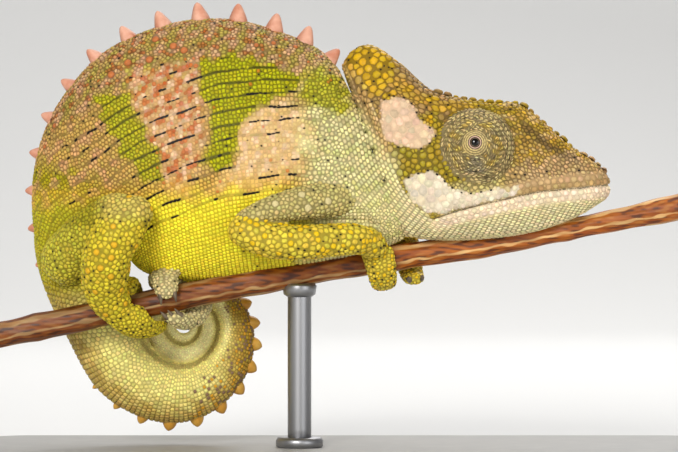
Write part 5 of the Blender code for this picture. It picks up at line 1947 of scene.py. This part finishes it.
def twig_rings(x, twist):
    """Rings of the bark: ridged, thinner at the waist and thicker at the knots."""
    centre, along = twig_frame(x)
    side = unit(np.cross(along, (0.0, 0.0, 1.0)))
    up = np.cross(side, along)
    turns = turns_of(TWIG_SIDES)
    wave = 0.03 * np.sin(0.55 * x) + 0.02 * np.sin(1.3 * x + 1)
    waist = WAIST_DEPTH * np.exp(-((x - WAIST_X) / WAIST_LENGTH) ** 2)
    radius = TWIG_RADIUS * (1 + wave - waist) - BARK_ROOM
    grain = 0.03 * np.sin(5 * twist + 0.4 * np.sin(x[:, None] * 0.7))
    grain = grain + 0.02 * np.sin(13 * twist + x[:, None] * 0.5)
    knots = sum(0.1 * np.exp(-((x - place) / 0.7) ** 2) for place in KNOTS)
    reach = radius[:, None] + grain + knots[:, None] * 0.6
    way = np.cos(turns)[None, :, None] * side[:, None, :] + np.sin(turns)[None, :, None] * up[:, None, :]
    return centre[:, None, :] + way * reach[..., None]


def bark_streaks(points, turn):
    """1 on the pale streaks of worn bark, at each point's turn round the twig."""
    x = points[:, 0]
    frayed = 0.1 * waves(points * np.array([0.35, 1.0, 1.0]), 0.9)
    streak = np.zeros(len(points))
    for middle, wander, width in STREAKS:
        away = turn - middle - wander * np.sin(x * 0.13 + 3 * middle) + frayed
        away = np.abs(np.mod(away + np.pi, 2 * np.pi) - np.pi)
        streak = np.maximum(streak, ramp(width, 0.65 * width, away) * (0.75 + 0.25 * waves(points, 5.0)))
    return np.clip(streak, 0, 1)


def bark_paint(points, turn):
    """Red-brown bark with dark fibres and pale streaks, painted shade that darkens it towards the left, and
    bare ends.
    """
    fine = waves(points * np.array([0.16, 1.0, 1.0]), 0.42, 5)
    paint = layered(
        BARK,
        (BARK_LIGHT, 0.5 + 0.5 * np.clip(waves(points, 2.4), -1, 1)),
        (BARK_DARK, 0.8 * ramp(0.2, 0.9, fine)),
        (BARK_FIBRE, 0.5 * ramp(0.35, 0.95, -fine)),
        (BARK_WORN, bark_streaks(points, turn) * (0.8 + 0.2 * fine)))
    # Painted shade, darker towards the left end
    paint = paint * (1 - 0.45 * ramp(12.0, -24.0, points[:, 0]))[:, None]
    paint[-2:] = SAWN_WOOD
    return paint


def make_twig():
    """The cut twig with streaked, ridged bark and bare sawn ends."""
    x = np.linspace(TWIG_LINE[0][0], TWIG_LINE[-1][0], TWIG_STEPS)
    twist = turns_of(TWIG_SIDES)[None, :] + 0.05 * x[:, None]
    points, faces = tube(twig_rings(x, twist))
    twig = new_piece("twig_bark", points, faces)
    angle = np.concatenate([twist.ravel(), [0, 0]])
    set_colours(twig, bark_paint(points, angle - 0.05 * points[:, 0]))
    material, tree, shader = new_material("twig_bark", 0.5, 0.45)
    fibres = noise(tree, 1400.0, 5.0, 0.3, (0.12, 1.0, 1.0))
    paint_mottled(tree, shader, fibres, 0.72, 1.2)
    add_bump(tree, shader, fibres, 0.1, 0.7)
    finish_piece(twig, material, "bark", "perch_twig")

BASE_CORNER = 6.0
BASE_BEVEL = 0.5
COLLAR_RADIUS = 2.6
COLLAR_HEIGHT = 1.1
# Saddle under the twig: shares of the rod's radius, and heights above the rod's top
SADDLE = ((1.02, -1.4), (1.35, -1.1), (1.45, -0.2), (1.3, 0.1))


def built_mesh(name, build):
    """A smooth mesh from a bmesh, which is freed."""
    mesh = bpy.data.meshes.new(name)
    build.to_mesh(mesh)
    build.free()
    mesh.shade_smooth()
    return mesh


def rounded_box(name, low, high, corner, bevel, steps=14):
    """A flat slab with round corners and softened edges."""
    build = bmesh.new()
    outline = []
    for quarter in range(4):
        sign_x = 1 if quarter in (0, 3) else -1
        sign_y = 1 if quarter < 2 else -1
        middle_x = (high.x if sign_x > 0 else low.x) - sign_x * corner
        middle_y = (high.y if sign_y > 0 else low.y) - sign_y * corner
        for step in range(steps + 1):
            angle = math.pi / 2 * (quarter + step / steps)
            outline.append((middle_x + corner * math.cos(angle), middle_y + corner * math.sin(angle)))
    bottom = build.faces.new([build.verts.new((x, y, low.z)) for x, y in outline])
    top = bmesh.ops.extrude_face_region(build, geom=[bottom])
    bmesh.ops.translate(build, vec=(0, 0, high.z - low.z),
                        verts=[item for item in top["geom"] if isinstance(item, bmesh.types.BMVert)])
    edges = [edge for edge in build.edges if abs(edge.verts[0].co.z - edge.verts[1].co.z) < 1e-7]
    bmesh.ops.bevel(build, geom=edges, offset=bevel, segments=4, affect="EDGES", profile=0.5)
    bmesh.ops.recalc_face_normals(build, faces=build.faces)
    mesh = built_mesh(name, build)
    mesh.set_sharp_from_angle(angle=math.radians(40))
    return new_object(name, mesh)


def make_base():
    """Satin grey base."""
    base = rounded_box("stand_base_body", *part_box("stand_base"), BASE_CORNER * MM, BASE_BEVEL * MM)
    satin = two_tone("stand_satin", SATIN_COLOURS, 400.0, 0.5, 0.02)
    finish_piece(base, satin, "stand_base", "stand_base")


def make_rod():
    """Brushed steel rod with a collar on the base and a small saddle under the twig."""
    low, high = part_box("stand_rod")
    x = (low.x + high.x) / 2 / MM
    y = (low.y + high.y) / 2 / MM
    radius = (high.x - low.x) / 2 / MM
    foot = BASE_TOP - LIFT
    top = float(twig_frame(x)[0][2]) - TWIG_RADIUS * 0.8
    rod = [(radius, foot), (radius, foot + 2), (radius, top - 1), (radius, top)]
    collar = [(COLLAR_RADIUS * 0.9, foot + 0.02), (COLLAR_RADIUS, foot + 0.15),
              (COLLAR_RADIUS, foot + COLLAR_HEIGHT * 0.7), (COLLAR_RADIUS * 0.92, foot + COLLAR_HEIGHT),
              (radius * 1.02, foot + COLLAR_HEIGHT)]
    saddle = [(radius * wide, top + rise) for wide, rise in SADDLE]
    directions = np.eye(3)[[2, 0, 1]]
    parts = [tube(turned(rows, np.array([x, y, 0.0]), *directions)) for rows in (rod, collar, saddle)]
    steel = two_tone("stand_steel", STEEL_COLOURS, 300.0, 0.45, 0.01, (1, 1, 0.05))
    steel.node_tree.nodes["Principled BSDF"].inputs["Metallic"].default_value = 1.0
    finish_piece(new_piece("stand_rod_body", *joined(parts)), steel, "stand_rod", "stand_rod")


# ---------------------------------------------------------------- stage

# Millimetres: how far off the camera stands, how wide its picture is there, and its (x, height)
CAMERA_DISTANCE = 350.0
FRAME_WIDTH = 74.58
FRAME_CENTRE = (-0.66, 27.3)
# Metres: edges of the floor, the curve behind it, the top of the wall
FLOOR_NEAR = -0.7
FLOOR_FAR = 0.45
FLOOR_CURVE = 0.35
FLOOR_HALF_WIDTH = 1.6
WALL_TOP = 1.4
SENSOR_WIDTH = 36.0
FLOOR_COLOUR = (0.86, 0.85, 0.83, 1)
SKY_COLOUR = (0.9, 0.92, 0.95, 1)
SKY_STRENGTH = 0.25
MIDDLE = (0.0, 0.0, 0.03)
# Soft square lights: name, place, target, side, power, colour
LIGHTS = (("key", (-0.14, -0.46, 0.22), MIDDLE, 0.14, 1.95, (1.0, 0.985, 0.96)),
          ("fill", (0.34, -0.42, 0.08), MIDDLE, 0.3, 0.95, (0.98, 0.99, 1.0)),
          ("backdrop", (0.0, 0.2, 0.6), (0.0, 0.8, 0.15), 0.5, 1.5, (1, 1, 1)),
          ("overhead", (0.0, -0.05, 0.6), MIDDLE, 0.5, 0.5, (1, 1, 1)),
          ("rim", (0.1, 0.4, 0.4), MIDDLE, 0.25, 1.1, (1, 1, 1)))


def make_stage():
    """Pale floor that curves up behind the model."""
    profile = [(FLOOR_NEAR, 0.0), (FLOOR_FAR, 0.0)]
    profile += [(FLOOR_FAR + FLOOR_CURVE * math.sin(a), FLOOR_CURVE - FLOOR_CURVE * math.cos(a))
                for a in np.linspace(0, np.pi / 2, 24)[1:]]
    profile.append((FLOOR_FAR + FLOOR_CURVE, WALL_TOP))
    build = bmesh.new()
    rails = [[build.verts.new((x, y, z)) for y, z in profile] for x in (-FLOOR_HALF_WIDTH, FLOOR_HALF_WIDTH)]
    for k in range(len(profile) - 1):
        build.faces.new((rails[0][k], rails[1][k], rails[1][k + 1], rails[0][k + 1]))
    floor = new_object("floor", built_mesh("floor", build))
    material, _, shader = new_material("pale_floor", 0.7, 0.3)
    shader.inputs["Base Color"].default_value = FLOOR_COLOUR
    floor.data.materials.append(material)


def make_lights():
    """Key from above the camera's left, wide fill, backdrop light, and a rim from behind."""
    for name, place, target, size, power, colour in LIGHTS:
        lamp = bpy.data.lights.new(name, "AREA")
        lamp.shape = "SQUARE"
        lamp.size = size
        lamp.energy = power
        lamp.color = colour
        piece = new_object(name, lamp)
        piece.location = place
        piece.rotation_euler = (Vector(target) - Vector(place)).to_track_quat("-Z", "Y").to_euler()
    world = bpy.data.worlds.new("studio")
    world.use_nodes = True
    background = world.node_tree.nodes["Background"].inputs
    background["Color"].default_value = SKY_COLOUR
    background["Strength"].default_value = SKY_STRENGTH
    bpy.context.scene.world = world
    bpy.context.scene.view_settings.view_transform = "Standard"


def make_camera():
    """Level camera square on to the animal's right side."""
    camera = bpy.data.cameras.new("camera")
    camera.sensor_width = SENSOR_WIDTH
    camera.lens = SENSOR_WIDTH * CAMERA_DISTANCE / FRAME_WIDTH
    camera.clip_start = 0.01
    piece = new_object("camera", camera)
    piece.location = (FRAME_CENTRE[0] * MM, -CAMERA_DISTANCE * MM, FRAME_CENTRE[1] * MM)
    piece.rotation_euler = (math.pi / 2, 0.0, 0.0)
    bpy.context.scene.camera = piece


def make_body(skin, face_node):
    """The skin under the scales, in their colours, darkened between the scales as darker skin and painted
    shade.
    """
    points, faces, _ = skin
    node = np.zeros(len(points), int)
    node[faces.ravel()] = np.repeat(face_node, 3)
    body = new_piece("skin", points, faces)
    set_colours(body, coat_colour(points, node) * gap_shade(points, node)[:, None])
    finish_piece(body, coat_material("skin", 0.6, 1500.0), "body_skin", *FLESH)


def make_animal():
    """Skin, coat, eyes, claws and spines."""
    skin = make_skin()
    points, faces, _ = skin
    face_node = nearest_nodes(points[faces].mean(1))
    make_body(skin, face_node)
    make_coat(skin, face_node)
    for side, word in SIDES:
        make_eye(side, word)
        make_lid(side, word)
    make_claws()
    make_spines()


make_animal()
make_twig()
make_base()
make_rod()
make_stage()
make_lights()
make_camera()
